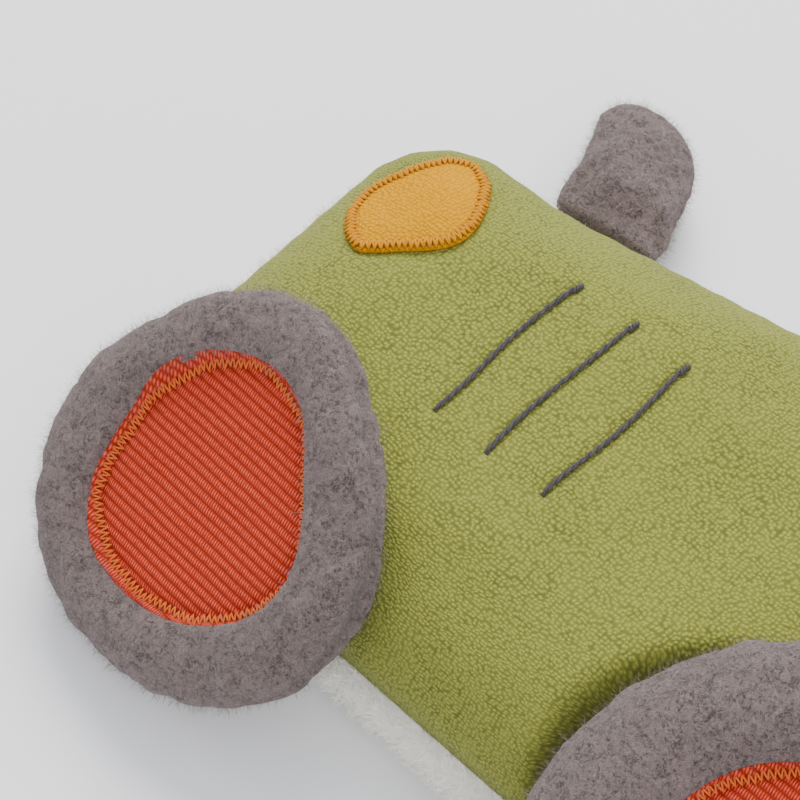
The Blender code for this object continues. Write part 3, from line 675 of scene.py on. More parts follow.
def make_knit_group():
    """Ribbed jersey: rows of slanting loops side by side, on the piece's own flat places. Each loop's crest
    is painted lighter as painted highlight, and the gaps between loops darker as painted shade.
    """
    tree, start = shader_group("Ribbed knit", ("Rib", 1.6), ("Loop", 0.53))
    parts = add_node(tree, "ShaderNodeSeparateXYZ", {0: start["Vector"]})
    rib = maths(tree, "DIVIDE", parts.outputs[1], start["Rib"])
    row = maths(tree, "FRACT", rib)
    bow = maths(tree, "ABSOLUTE", maths(tree, "SUBTRACT", row, 0.5))
    slant = maths(tree, "MULTIPLY", row, 0.45)
    along = maths(tree, "ADD", maths(tree, "DIVIDE", parts.outputs[0], start["Loop"]), slant)
    bead = maths(tree, "ABSOLUTE", maths(tree, "SINE", maths(tree, "MULTIPLY", along, pi)))
    round_row = maths(tree, "SUBTRACT", 1.0, maths(tree, "MULTIPLY", bow, 2.0))
    crest = maths(tree, "MULTIPLY", maths(tree, "POWER", bead, 0.9), maths(tree, "POWER", round_row, 0.9))
    soft = noise(tree, start["Vector"], 1.4, 3.0)
    level = maths(tree, "MULTIPLY", crest, ranged(tree, soft, 0.0, 0.58))
    # Painted shade in the gaps between loops, then painted highlight on their crests
    shade = mixed(tree, ranged(tree, level, 0.0, 0.42), start["Dark"], start["Base"])
    lit_and_shaded = mixed(tree, ranged(tree, level, 0.42, 0.9), shade, start["Light"])
    return close_group(tree, lit_and_shaded, crest)


def make_thread_group():
    """Spun thread: two or three shades along its fibres."""
    tree, start = shader_group("Spun thread")
    place = start["Vector"]
    plies = noise(tree, place, 3.2, 3.0, 0.6, 0.8)
    stray = noise(tree, place, 0.7, 2.0)
    shade = mixed(tree, ranged(tree, plies, 0.36, 0.64), start["Dark"], start["Light"])
    colour = mixed(tree, ranged(tree, stray, 0.3, 0.7), shade, start["Base"])
    return close_group(tree, colour, plies)


GROUP_MAKERS = {
    "nap": make_nap_group, "wool": make_wool_group, "knit": make_knit_group, "thread": make_thread_group,
}
GROUPS = {}


# Each finish: its pattern, its colour or the setting that holds it, how much darker and lighter it gets, the
# pattern's sizes, and the surface. Sizes are in millimetres.
THREAD = {"bump": 0.35, "sheen": 0.04, "roughness": 0.7, "specular": 0.15}
FINISHES = {
    "Green velour": ("nap", "green", 0.38, 1.6, {"Pitch": 0.84}, {
        "bump": 0.5, "sheen": 0.16, "sheen_roughness": 0.45, "tint": "green_sheen", "on_uv": True}),
    "Yellow velour": ("nap", "yellow", 0.6, 1.25, {"Pitch": 0.8}, {
        "bump": 0.6, "sheen": 0.0, "specular": 0.04, "on_uv": True}),
    "Cream plush": ("wool", "cream", 0.86, 1.1, {"Clouds": 0.5}, {"bump": 0.6, "sheen": 0.35}),
    "Cream fibres": ("wool", "cream", 0.9, 1.15, {"Clouds": 0.5}, {
        "bump": 0.1, "sheen": 0.2, "shade_by": "shade"}),
    "Grey fleece": ("wool", "grey", 0.3, 1.85, {"Clouds": 0.6}, {
        "bump": 1.0, "sheen": 0.25, "sheen_roughness": 0.5}),
    "Grey fibres": ("wool", "grey", 0.34, 2.0, {"Clouds": 0.6}, {
        "bump": 0.1, "sheen": 0.2, "shade_by": "shade"}),
    # The jersey's lighter shade is whitened a little: a painted highlight on its loops' crests
    "Orange jersey": ("knit", "orange", 0.3, 1.45, {}, {
        "bump": 0.8, "paler": 0.05, "sheen": 0.03, "specular": 0.06, "roughness": 0.75, "on_uv": True}),
    "Lining jersey": ("knit", "cream", 0.8, 1.1, {"Rib": 0.9, "Loop": 0.6}, {
        "bump": 0.3, "sheen": 0.1, "on_uv": True}),
    "Label tape": ("knit", (0.8, 0.8, 0.78), 0.9, 1.08, {"Rib": 0.35, "Loop": 0.35}, {
        "bump": 0.2, "sheen": 0.1, "roughness": 0.5, "specular": 0.4, "on_uv": True}),
    "Yellow thread": ("thread", "yellow_thread", 0.55, 1.2, {}, THREAD),
    "Orange thread": ("thread", "orange_thread", 0.55, 1.2, {}, THREAD),
    "Grey thread": ("thread", "grey_thread", 0.55, 1.2, {}, THREAD),
}


def finish_of(name):
    """A cloth's material, made the first time that it is asked for."""
    found = bpy.data.materials.get(name)
    return found or fabric(name, *FINISHES[name][:-1], **FINISHES[name][-1])


def set_colour(colour):
    """A colour, looked up in the settings if it is the name of one."""
    return tuple(getattr(settings(), colour)) if isinstance(colour, str) else colour


def fabric(name, group, colour, darker, lighter, sizes, bump=0.3, sheen=0.3, sheen_roughness=0.4,
           tint=(1, 1, 1), roughness=0.9, specular=0.15, on_uv=False, shade_by=None, paler=0.0):
    """A cloth finish: one of the groups gives its colour and relief, in millimetres over the piece."""
    made = bpy.data.materials.new(name)
    made.use_nodes = True
    tree = made.node_tree
    shader = tree.nodes["Principled BSDF"]
    where = tree.nodes.new("ShaderNodeTexCoord").outputs["UV" if on_uv else "Object"]
    scaled = add_node(tree, "ShaderNodeMapping", {"Vector": where, "Scale": (1 / MM, 1 / MM, 1 / MM)})
    if group not in GROUPS:
        GROUPS[group] = GROUP_MAKERS[group]()
    pattern = tree.nodes.new("ShaderNodeGroup")
    pattern.node_tree = GROUPS[group]
    tree.links.new(scaled.outputs[0], pattern.inputs["Vector"])
    base = set_colour(colour)
    shades = {
        "Base": (*base, 1),
        "Dark": (*(channel * darker for channel in base), 1),
        # The lighter shade can be whitened a little, as painted highlight
        "Light": (*(min(1, channel * lighter) * (1 - paler) + paler for channel in base), 1),
    }
    for title, value in {**shades, **sizes}.items():
        pattern.inputs[title].default_value = value
    result = pattern.outputs["Color"]
    if shade_by:
        own = add_node(tree, "ShaderNodeAttribute", {}, attribute_name=shade_by)
        pale = add_node(tree, "ShaderNodeRGB")
        pale.outputs[0].default_value = shades["Light"]
        result = mixed(tree, maths(tree, "MULTIPLY", own.outputs["Fac"], 0.8), result, pale.outputs[0])
    tree.links.new(result, shader.inputs["Base Color"])
    relief = add_node(tree, "ShaderNodeBump", {
        "Height": pattern.outputs["Height"], "Strength": bump, "Distance": 0.6 * MM,
    })
    tree.links.new(relief.outputs[0], shader.inputs["Normal"])
    for title, value in (
        ("Roughness", roughness), ("Specular IOR Level", specular), ("Sheen Weight", sheen),
        ("Sheen Roughness", sheen_roughness), ("Sheen Tint", (*set_colour(tint), 1)),
    ):
        shader.inputs[title].default_value = value
    return made


# Patterns that repeat --------------------------------------------------------------------------------


def pattern_tree(name, inputs):
    """An empty geometry node tree that takes a shape, named sizes and a finish."""
    tree = bpy.data.node_groups.new(name, "GeometryNodeTree")
    tree.interface.new_socket(name="Geometry", in_out="INPUT", socket_type="NodeSocketGeometry")
    for title, kind, default in inputs:
        socket = tree.interface.new_socket(name=title, in_out="INPUT", socket_type=kind)
        socket.default_value = default
    tree.interface.new_socket(name="Finish", in_out="INPUT", socket_type="NodeSocketMaterial")
    tree.interface.new_socket(name="Geometry", in_out="OUTPUT", socket_type="NodeSocketGeometry")
    return tree, tree.nodes.new("NodeGroupInput").outputs


def close_tree(tree, geometry, start):
    """Ends a tree in real geometry with its finish."""
    real = add_node(tree, "GeometryNodeRealizeInstances", {"Geometry": geometry})
    smoothed = add_node(tree, "GeometryNodeSetShadeSmooth", {"Geometry": real.outputs[0]})
    coated = add_node(tree, "GeometryNodeSetMaterial", {
        "Geometry": smoothed.outputs[0], "Material": start["Finish"],
    })
    end = tree.nodes.new("NodeGroupOutput")
    tree.links.new(coated.outputs[0], end.inputs[0])
    return tree


def chance(tree, low, high, seed, number=None):
    """A random value between two limits, for each point or for each of a number's values."""
    inputs = {2: low, 3: high, "Seed": seed}
    if number is not None:
        inputs["ID"] = number
    return given(add_node(tree, "FunctionNodeRandomValue", inputs))


def stored(tree, name, kind="FLOAT_VECTOR"):
    """A direction, or a value, stored on the points."""
    node = add_node(tree, "GeometryNodeInputNamedAttribute", {"Name": name}, data_type=kind)
    return given(node, "Attribute")


def placed_anew(tree, shape, **where):
    """A shape's points moved: by an Offset, or to a Position."""
    return add_node(tree, "GeometryNodeSetPosition", {"Geometry": shape, **where}).outputs[0]


def scaled_vector(tree, vector, amount):
    node = add_node(tree, "ShaderNodeVectorMath", {0: vector}, operation="SCALE")
    tree.links.new(amount, node.inputs["Scale"])
    return node.outputs[0]


def shifted(tree, line, across, above):
    """A line's points moved along their own side and up directions."""
    sideways = scaled_vector(tree, stored(tree, "side"), across)
    upwards = scaled_vector(tree, stored(tree, "up"), above)
    return placed_anew(tree, line, Offset=vector_maths(tree, "ADD", sideways, upwards))


def resampled(tree, guide, count):
    """A guide as a curve with a number of points, and each point's index."""
    curve = add_node(tree, "GeometryNodeMeshToCurve", {"Mesh": guide})
    dense = add_node(tree, "GeometryNodeResampleCurve", {
        "Curve": curve.outputs[0], "Count": count,
    }, mode="COUNT")
    return dense.outputs[0], tree.nodes.new("GeometryNodeInputIndex").outputs[0]


def swept(tree, curve, radius):
    profile = add_node(tree, "GeometryNodeCurvePrimitiveCircle", {"Resolution": 6, "Radius": radius})
    return add_node(tree, "GeometryNodeCurveToMesh", {
        "Curve": curve, "Profile Curve": profile.outputs[0], "Fill Caps": True,
    }).outputs[0]


STITCH_PARTS = 8  # points along one zig and zag


def zigzag_tree():
    """A thread that runs from side to side of its guide, with an arch over each stitch."""
    tree, start = pattern_tree("Zigzag stitching", [
        ("Stitches", "NodeSocketInt", 50),
        ("Width", "NodeSocketFloat", 2.2 * MM),
        ("Arch", "NodeSocketFloat", 0.4 * MM),
        ("Thread", "NodeSocketFloat", 0.22 * MM),
        ("Slip", "NodeSocketFloat", 0.15 * MM),
        ("Seed", "NodeSocketInt", 1),
    ])
    count = maths(tree, "MULTIPLY", start["Stitches"], float(STITCH_PARTS))
    line, index = resampled(tree, start["Geometry"], count)
    phase = maths(tree, "FRACT", maths(tree, "DIVIDE", index, float(STITCH_PARTS)))
    swing = maths(tree, "ABSOLUTE", maths(tree, "SUBTRACT", maths(tree, "MULTIPLY", phase, 2.0), 1.0))
    swing = maths(tree, "SUBTRACT", maths(tree, "MULTIPLY", swing, 2.0), 1.0)
    arch = maths(tree, "SUBTRACT", 1.0, maths(tree, "MULTIPLY", swing, swing))
    number = maths(tree, "FLOOR", maths(tree, "DIVIDE", index, float(STITCH_PARTS)))
    slip = maths(tree, "MULTIPLY", chance(tree, -1.0, 1.0, start["Seed"], number), start["Slip"])
    half = maths(tree, "MULTIPLY", start["Width"], 0.5)
    reach = maths(tree, "ADD", maths(tree, "MULTIPLY", swing, half), slip)
    moved = shifted(tree, line, reach, maths(tree, "MULTIPLY", arch, start["Arch"]))
    return close_tree(tree, swept(tree, moved, start["Thread"]), start)


def twisted_tree():
    """A cord of two threads wound round each other along its guide."""
    tree, start = pattern_tree("Twisted thread", [
        ("Points", "NodeSocketInt", 100),
        ("Turns", "NodeSocketFloat", 10.0),
        ("Spread", "NodeSocketFloat", 0.3 * MM),
        ("Thread", "NodeSocketFloat", 0.3 * MM),
    ])
    line, index = resampled(tree, start["Geometry"], start["Points"])
    turn = maths(tree, "MULTIPLY", maths(tree, "DIVIDE", index, start["Points"]), start["Turns"])
    both = tree.nodes.new("GeometryNodeJoinGeometry")
    for strand in range(2):
        angle = maths(tree, "ADD", maths(tree, "MULTIPLY", turn, 2 * pi), pi * strand)
        across = maths(tree, "MULTIPLY", maths(tree, "COSINE", angle), start["Spread"])
        above = maths(tree, "MULTIPLY", maths(tree, "SINE", angle), start["Spread"])
        tree.links.new(swept(tree, shifted(tree, line, across, above), start["Thread"]), both.inputs[0])
    return close_tree(tree, both.outputs[0], start)


def fibre_tree():
    """Wool fibres that grow where a surface's points say pile, each leaning and curling its own way."""
    tree, start = pattern_tree("Wool fibres", [
        ("Density", "NodeSocketFloat", 5e6),
        ("Length", "NodeSocketFloat", 1.6 * MM),
        ("Width", "NodeSocketFloat", 0.08 * MM),
        ("Lean", "NodeSocketFloat", 1.1),
        ("Curl", "NodeSocketFloat", 0.8 * MM),
        ("Curl Size", "NodeSocketFloat", 700.0),
        ("Seed", "NodeSocketInt", 1),
    ])
    spread = maths(tree, "MULTIPLY", start["Density"], stored(tree, "pile", "FLOAT"))
    roots = add_node(tree, "GeometryNodeDistributePointsOnFaces", {
        "Mesh": start["Geometry"], "Density": spread, "Seed": start["Seed"],
    }, distribute_method="RANDOM")
    blade = add_node(tree, "GeometryNodeMeshGrid", {
        "Size X": start["Width"], "Size Y": start["Length"], "Vertices X": 2, "Vertices Y": 4,
    })
    position = tree.nodes.new("GeometryNodeInputPosition").outputs[0]
    place = add_node(tree, "ShaderNodeSeparateXYZ", {0: position})
    share = maths(tree, "ADD", maths(tree, "DIVIDE", place.outputs[1], start["Length"]), 0.5)
    taper = maths(tree, "SUBTRACT", 1.0, maths(tree, "MULTIPLY", share, 0.8))
    squared = maths(tree, "MULTIPLY", share, share)
    bow = maths(tree, "MULTIPLY", squared, maths(tree, "MULTIPLY", start["Length"], 0.35))
    across = maths(tree, "MULTIPLY", place.outputs[0], taper)
    rise = maths(tree, "MULTIPLY", share, start["Length"])
    marked = add_node(tree, "GeometryNodeStoreNamedAttribute", {
        "Geometry": blade.outputs[0], "Name": "along", "Value": share,
    }, data_type="FLOAT", domain="POINT")
    raised = placed_anew(tree, marked.outputs[0], Position=combined(tree, across, bow, rise))
    seeds = [start["Seed"]] + [maths(tree, "ADD", start["Seed"], more) for more in (7.0, 3.0, 5.0)]
    lean = chance(tree, 0.78, 1.0, seeds[0])
    yaw = combined(tree, z=chance(tree, -pi, pi, seeds[1]))
    tilt = combined(tree, maths(tree, "MULTIPLY", lean, start["Lean"]))
    turned = roots.outputs["Rotation"]
    for angles in (yaw, tilt):
        more = add_node(tree, "FunctionNodeEulerToRotation", {0: angles})
        turned = add_node(tree, "FunctionNodeRotateRotation", {
            "Rotation": turned, "Rotate By": more.outputs[0],
        }, rotation_space="LOCAL").outputs[0]
    grown = add_node(tree, "GeometryNodeInstanceOnPoints", {
        "Points": roots.outputs["Points"], "Instance": raised, "Rotation": turned,
        "Scale": chance(tree, 0.45, 1.2, seeds[2]),
    })
    pale = maths(tree, "POWER", chance(tree, 0.0, 1.0, seeds[3]), 2.5)
    tinted = add_node(tree, "GeometryNodeStoreNamedAttribute", {
        "Geometry": grown.outputs[0], "Name": "shade", "Value": pale,
    }, data_type="FLOAT", domain="INSTANCE")
    real = add_node(tree, "GeometryNodeRealizeInstances", {"Geometry": tinted.outputs[0]})
    wander = add_node(tree, "ShaderNodeTexNoise", {"Scale": start["Curl Size"], "Detail": 1.0})
    centred = vector_maths(tree, "SUBTRACT", wander.outputs[1], (0.5, 0.5, 0.5))
    curl = maths(tree, "MULTIPLY", stored(tree, "along", "FLOAT"), start["Curl"])
    curled = placed_anew(tree, real.outputs[0], Offset=scaled_vector(tree, centred, curl))
    return close_tree(tree, curled, start)


TREE_MAKERS = {"zigzag": zigzag_tree, "twisted": twisted_tree, "fibres": fibre_tree}
TREES = {}


def grown(name, guide, kind, finish, **sizes):
    """The plain mesh that a pattern makes of a guide, as an object of its own."""
    if kind not in TREES:
        TREES[kind] = TREE_MAKERS[kind]()
    tree = TREES[kind]
    wanted = {title.replace("_", " ").title(): value for title, value in sizes.items()}
    wanted["Finish"] = finish
    pattern = guide.modifiers.new("Pattern", "NODES")
    pattern.node_group = tree
    for socket in tree.interface.items_tree:
        if socket.in_out == "INPUT" and socket.name in wanted:
            pattern[socket.identifier] = wanted.pop(socket.name)
    if wanted:
        raise ValueError(f"{name}: the pattern {kind} has no input named {sorted(wanted)}")
    depsgraph = bpy.context.evaluated_depsgraph_get()
    mesh = bpy.data.meshes.new_from_object(guide.evaluated_get(depsgraph), depsgraph=depsgraph)
    guide.modifiers.remove(pattern)
    if not mesh.polygons:
        raise ValueError(f"{name}: the pattern made nothing")
    mesh.name = name
    item = bpy.data.objects.new(name, mesh)
    bpy.context.scene.collection.objects.link(item)
    points = vertices(item)
    points[:, 2] = np.maximum(points[:, 2], TABLE_CLEAR)
    move_vertices(item, points)
    return item


def guide_line(points, sides, ups, closed=False):
    """A line that a pattern follows, with the directions to its side and up on each point."""
    mesh = bpy.data.meshes.new("guide")
    count = len(points)
    edges = [(i, (i + 1) % count) for i in range(count if closed else count - 1)]
    mesh.from_pydata([tuple(point) for point in points], edges, [])
    for title, vectors in (("side", sides), ("up", ups)):
        stored_on = mesh.attributes.new(title, "FLOAT_VECTOR", "POINT")
        stored_on.data.foreach_set("vector", np.asarray(vectors, np.float32).ravel())
    item = bpy.data.objects.new("guide", mesh)
    bpy.context.scene.collection.objects.link(item)
    return item


def stitched(name, guide, kind, finish, **sizes):
    """A pattern along a guide that isn't kept."""
    item = grown(name, guide, kind, finish, **sizes)
    bpy.data.objects.remove(guide)
    return item


def pile_on(item, amounts):
    """Says how densely fibres grow at each point of a piece, from 0 to 1."""
    stored_on = item.data.attributes.get("pile") or item.data.attributes.new("pile", "FLOAT", "POINT")
    stored_on.data.foreach_set("value", np.asarray(amounts, np.float32))


# The body's pieces -----------------------------------------------------------------------------------

GRILLE_LINES = [
    (51.8 * MM, 37.3 * MM, 74.0 * MM), (64.1 * MM, 37.5 * MM, 74.9 * MM), (77.2 * MM, 38.2 * MM, 74.4 * MM),
]
EDGE_RINGS = [0.5 * MM, 1.2 * MM, 2.2 * MM, 3.4 * MM]
PANEL_STEP = 1.9 * MM
LIP = 2.4 * MM  # how far the turned edge of the mouth stands out
LIP_ROWS = 7
HEM_DEPTH = 12 * MM
CLOTH = 1.3 * MM
LINING_CLOTH = 0.7 * MM


def grille_x(middle, up, low, high):
    """Where an embroidered line runs: not quite straight."""
    share = (up - low) / (high - low)
    return middle + 0.45 * MM * np.sin(2 * pi * share * 0.9 + middle / (7 * MM))


# The headlight's edge: a long rounded shape that leans with the nose
HEADLIGHT = smooth_loop([
    (12.7 * MM, 55.0 * MM), (15.7 * MM, 53.0 * MM), (18.5 * MM, 52.3 * MM), (21.2 * MM, 54.0 * MM),
    (24.4 * MM, 57.1 * MM), (27.6 * MM, 60.1 * MM), (30.2 * MM, 63.6 * MM), (31.0 * MM, 67.2 * MM),
    (30.2 * MM, 71.4 * MM), (27.7 * MM, 76.3 * MM), (24.3 * MM, 80.4 * MM), (20.0 * MM, 83.0 * MM),
    (16.7 * MM, 82.6 * MM), (13.6 * MM, 80.7 * MM), (11.3 * MM, 76.9 * MM), (9.4 * MM, 72.3 * MM),
    (8.1 * MM, 68.4 * MM), (7.8 * MM, 64.2 * MM), (8.4 * MM, 61.1 * MM), (9.9 * MM, 57.8 * MM),
], 96)


def window_loop():
    """The cab window's edge, from its stitching's box."""
    low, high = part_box("window_stitching")
    left, bottom = low.x - ORIGIN.x, low.y - ORIGIN.y
    right, top = high.x - ORIGIN.x, high.y - ORIGIN.y
    radius = 10 * MM
    corners = [(left, bottom, radius), (right, bottom, radius), (right, top, radius), (left, top, radius)]
    return rounded_loop(corners, 2 * MM)


def mouth_share():
    """For each point of the outline, 0 on a sewn edge and 1 along the mouth."""
    on_line = np.abs(BODY_LOOP[:, 0] - MOUTH_X) < 0.1 * MM
    up = BODY_LOOP[:, 1]
    ease = 9 * MM
    return on_line * smooth(MOUTH[0], MOUTH[0] + ease, up) * (1 - smooth(MOUTH[1] - ease, MOUTH[1], up))


def with_edge(flat, heights, faces, ring, rows, side):
    """A panel's face and the rows of points that carry its edge round, as points and faces."""
    points = [places(flat, heights)]
    total = len(flat)
    before = ring
    all_faces = [face if side > 0 else face[::-1] for face in faces]
    for row in rows:
        points.append(row)
        here = list(range(total, total + len(ring)))
        total += len(ring)
        for index in range(len(ring)):
            after = (index + 1) % len(ring)
            quad = (before[index], here[index], here[after], before[after])
            all_faces.append(quad if side > 0 else quad[::-1])
        before = here
    return np.vstack(points), all_faces


def edge_rows(sewn_profile, outer, inner, side):
    """Rows of points round a panel's edge: sewn_profile along the seams, a rolled lip along the mouth."""
    share = mouth_share()[:, None]
    rows = []
    for number, (out, height) in enumerate(sewn_profile, 1):
        sewn = places(BODY_LOOP + OUT * out, np.full(len(BODY_LOOP), height))
        turn = pi * min(1, number / (LIP_ROWS - 1))
        middle, half = (outer + inner) / 2, (outer - inner) / 2
        back = HEM_DEPTH if number == LIP_ROWS else 0
        at = BODY_LOOP + np.array([LIP * sin(turn) - back, 0])
        lip = places(at, middle + half * cos(turn) - side * 0.3 * MM * (number == LIP_ROWS))
        rows.append(sewn * (1 - share) + lip * share)
    return rows


def cut_places(flat, heights):
    """Where points of the front panel lay before it was stretched over the wadding."""
    gap, number, share = nearest(flat, BODY_LOOP[SEWN], np.roll(BODY_LOOP, -1, axis=0)[SEWN])
    drop = (heights.max() - heights) * (1 - smooth(0.3 * SHOULDER, SHOULDER, gap))
    out = OUT[SEWN][number] * (1 - share)[:, None] + np.roll(OUT, -1, axis=0)[SEWN][number] * share[:, None]
    return flat + out * drop[:, None]


def front_cover():
    """The green velour panel, from the nose to the mouth, over its wadding."""
    extra = []
    for middle, low, high in GRILLE_LINES:
        for up in np.arange(low - 2 * MM, high + 2 * MM, 1.0 * MM):
            line = grille_x(middle, up, low, high)
            extra.extend((line + offset * MM, up) for offset in (-2, -1, -0.45, 0, 0.45, 1, 2))
    flat, faces, ring = flat_mesh(BODY_LOOP, EDGE_RINGS, PANEL_STEP, np.array(extra))
    heights = front_height(flat)
    _, ceiling = hand_heights(BODY_LOOP)
    tuck = [(-0.5 * MM * k, SEAM_HEIGHT + 0.15 * MM - 0.03 * MM * k) for k in range(1, LIP_ROWS + 1)]
    rows = edge_rows(tuck, heights[ring], ceiling, 1)
    points, faces = with_edge(flat, heights, faces, ring, rows, 1)
    cut = cut_places(flat, heights)
    uvs, past, before = [cut], 0, places(flat, heights)[ring]
    for row in rows:
        past = past + np.linalg.norm(row - before, axis=1)[:, None]
        uvs.append(cut[ring] + OUT * past)
        before = row
    item = to_mesh("front_cover", points, faces, finish_of("Green velour"), np.vstack(uvs))
    return thicken(item, CLOTH)


PLUSH_ROLL = [
    (1.9 * MM, 4.4 * MM), (3.2 * MM, 6.6 * MM), (3.6 * MM, 9.0 * MM), (3.2 * MM, 11.2 * MM),
    (1.9 * MM, 12.8 * MM), (0.2 * MM, 13.7 * MM), (-1.6 * MM, 13.9 * MM),
]


def back_cover():
    """The cream plush panel that the puppet lies on, with its thick edge outside the seam."""
    flat, faces, ring = flat_mesh(BODY_LOOP, EDGE_RINGS, 2.6 * MM)
    heights = back_height(flat)
    floor, _ = hand_heights(BODY_LOOP)
    rows = edge_rows(PLUSH_ROLL, heights[ring], floor, -1)
    points, faces = with_edge(flat, heights, faces, ring, rows, -1)
    item = to_mesh("back_cover", points, faces, finish_of("Cream plush"))
    lumpy(item, 0.5 * MM, 2.8 * MM)
    return thicken(item, CLOTH)


def lumpy(item, height, size):
    """Small soft lumps over a fluffy piece, along its normals, where it is clear of the table."""
    points = vertices(item)
    wave = np.zeros(len(points))
    for turn in range(6):
        direction = np.array([sin(turn * 2.1 + 1), cos(turn * 1.3), sin(turn * 3.7 + 2)])
        wave += np.sin(points @ direction * 2 * pi / size * (0.7 + 0.16 * turn) + turn)
    share = smooth(0.8 * MM, 3 * MM, points[:, 2])
    move_vertices(item, points + normals_of(item) * (wave / 3 * height * share)[:, None])


def plush_edge_pile(cover):
    """The plush's fibres, long round its edge."""
    points = vertices(cover)
    flat = points[:, :2] - np.array([ORIGIN.x, ORIGIN.y])
    reach, _ = seam_reach(flat)
    outside = np.where(within(flat, BODY_LOOP), -reach, reach)
    amount = smooth(-1.5 * MM, 0.2 * MM, outside) * (points[:, 2] > 1 * MM)
    mouth = smooth(MOUTH_X, MOUTH_X + 0.6 * MM, points[:, 0] - ORIGIN.x) * (normals_of(cover)[:, 0] > 0.1)
    pile_on(cover, np.maximum(amount, mouth * 0.8))
    return grown(
        "plush_pile", cover, "fibres", finish_of("Cream fibres"), density=3.2e6, length=1.7 * MM,
        width=0.2 * MM, lean=1.3, curl=1.6 * MM, curl_size=600.0, seed=4,
    )


def lining_bag():
    """The lining: two layers sewn together inside the seams, open at the mouth."""
    loop = BODY_LOOP - OUT * LINING_INSET
    flat, faces, ring = flat_mesh(loop, [0.6 * MM, 1.8 * MM, 3.6 * MM], 4 * MM)
    floor, ceiling = hand_heights(flat)
    count = len(flat)
    share = mouth_share()
    joined = {ring[i]: ring[i] for i in range(len(ring)) if share[i] <= 0}
    lower = [joined.get(i, i + count) for i in range(count)]
    both = faces + [tuple(lower[i] for i in face[::-1]) for face in faces]
    points = np.vstack([places(flat, ceiling + 0.3 * MM), places(flat, floor - 0.3 * MM)])
    used = sorted({corner for face in both for corner in face})
    number = {old: new for new, old in enumerate(used)}
    kept = [tuple(number[corner] for corner in face) for face in both]
    cuts = np.vstack([flat, flat])
    item = to_mesh("lining_bag", points[used], kept, finish_of("Lining jersey"), cuts[used])
    return thicken(item, LINING_CLOTH, 1)


def on_front(points, lift):
    """Flat places at their height over the front panel."""
    return places(points, front_height(points, False) + lift)


def surface_frame(points, sides):
    """Directions to the side along the front panel and out of it, at flat places."""
    step = 0.5 * MM
    base = front_height(points, False)
    slope_x = (front_height(points + [step, 0], False) - base) / step
    slope_y = (front_height(points + [0, step], False) - base) / step
    up = np.column_stack([-slope_x, -slope_y, np.ones(len(points))])
    up /= np.linalg.norm(up, axis=1)[:, None]
    rise = sides[:, 0] * slope_x + sides[:, 1] * slope_y
    along = np.column_stack([sides, rise])
    along /= np.linalg.norm(along, axis=1)[:, None]
    return along, up


PATCH_LIFT = 1.0 * MM
PATCH_EDGE = 1.1 * MM  # how far inside its edge a patch is sewn
PATCH_CLOTH = 0.9 * MM
HUB_CLOTH = 0.7 * MM
TAPE = (15.4 * MM, 39 * MM, 0.25 * MM)  # the label's width, length and thickness
EMBROIDERY = {"spread": 0.25 * MM, "thread": 0.3 * MM}


def sewn_patch(name, loop, finish):
    """A patch that lies on the front panel and is drawn down by the stitches round its edge."""
    flat, faces, _ = flat_mesh(loop, [0.5 * MM, 1.1 * MM, 1.9 * MM, 2.8 * MM], 1.5 * MM)
    gap, _, _ = nearest(flat, loop, np.roll(loop, -1, axis=0))
    drawn = 0.45 * MM * np.exp(-((gap - PATCH_EDGE) / (1.2 * MM)) ** 2) + 0.3 * MM * np.exp(-gap / (0.4 * MM))
    puff = 0.5 * MM * smooth(1.5 * MM, 7 * MM, gap)
    points = on_front(flat, PATCH_LIFT - drawn + puff)
    item = to_mesh(name, points, faces, finish, flat)
    return thicken(item, PATCH_CLOTH)


def sewn_edge(name, loop, finish, pitch, width, seed):
    """The zigzag round a patch."""
    inner = loop - outward(loop) * PATCH_EDGE
    sides, ups = surface_frame(inner, outward(loop))
    lift = PATCH_LIFT - 0.35 * MM
    guide = guide_line(on_front(inner, lift), sides, ups, closed=True)
    return stitched(
        name, guide, "zigzag", finish, stitches=round(length_of(inner) / pitch), width=width,
        arch=0.55 * MM, thread=0.27 * MM, slip=0.22 * MM, seed=seed,
    )


def embroidered_line(name, middle, low, high):
    """One line of thick twisted thread, pulled into the velour at both ends."""
    ups = np.linspace(low, high, 60)
    points = np.column_stack([grille_x(middle, ups, low, high), ups])
    sides, out = surface_frame(points, np.tile([1.0, 0.0], (60, 1)))
    share = (ups - low) / (high - low)
    ends = np.minimum(share, 1 - share) * (high - low)
    lift = 0.15 * MM - 0.7 * MM * np.exp(-(ends / (0.9 * MM)) ** 2)
    lift += 0.12 * MM * np.sin(share * 2 * pi * 14)
    guide = guide_line(on_front(points, lift), sides, out)
    return stitched(
        name, guide, "twisted", finish_of("Grey thread"), points=190, turns=9.5, **EMBROIDERY,
    )


def end_knot(name, middle, low, high):
    """The thicker end of an embroidered line, where the thread is fastened by stitches over each other."""
    ups = np.linspace(high - 1.9 * MM, high + 0.4 * MM, 24)
    points = np.column_stack([grille_x(middle, ups, low, high) + 0.35 * MM, ups])
    sides, out = surface_frame(points, np.tile([1.0, 0.0], (24, 1)))
    bulge = 0.45 * MM * np.sin(np.linspace(0, pi, 24))
    guide = guide_line(on_front(points, bulge - 0.1 * MM), sides, out)
    return stitched(
        name, guide, "twisted", finish_of("Grey thread"), points=60, turns=1.8, **EMBROIDERY,
    )


# The wheels' pieces ----------------------------------------------------------------------------------

HUB_SUNK = {1: 1.1 * MM, -1: 1.4 * MM}  # how far the fleece lies under the hub, in front and behind
FLEECE_CLEAR = 0.4 * MM  # how far above the table the fleece stays
WHEEL_ANGLES = 144
HUB_RINGS = 7
TYRE_RINGS = 15


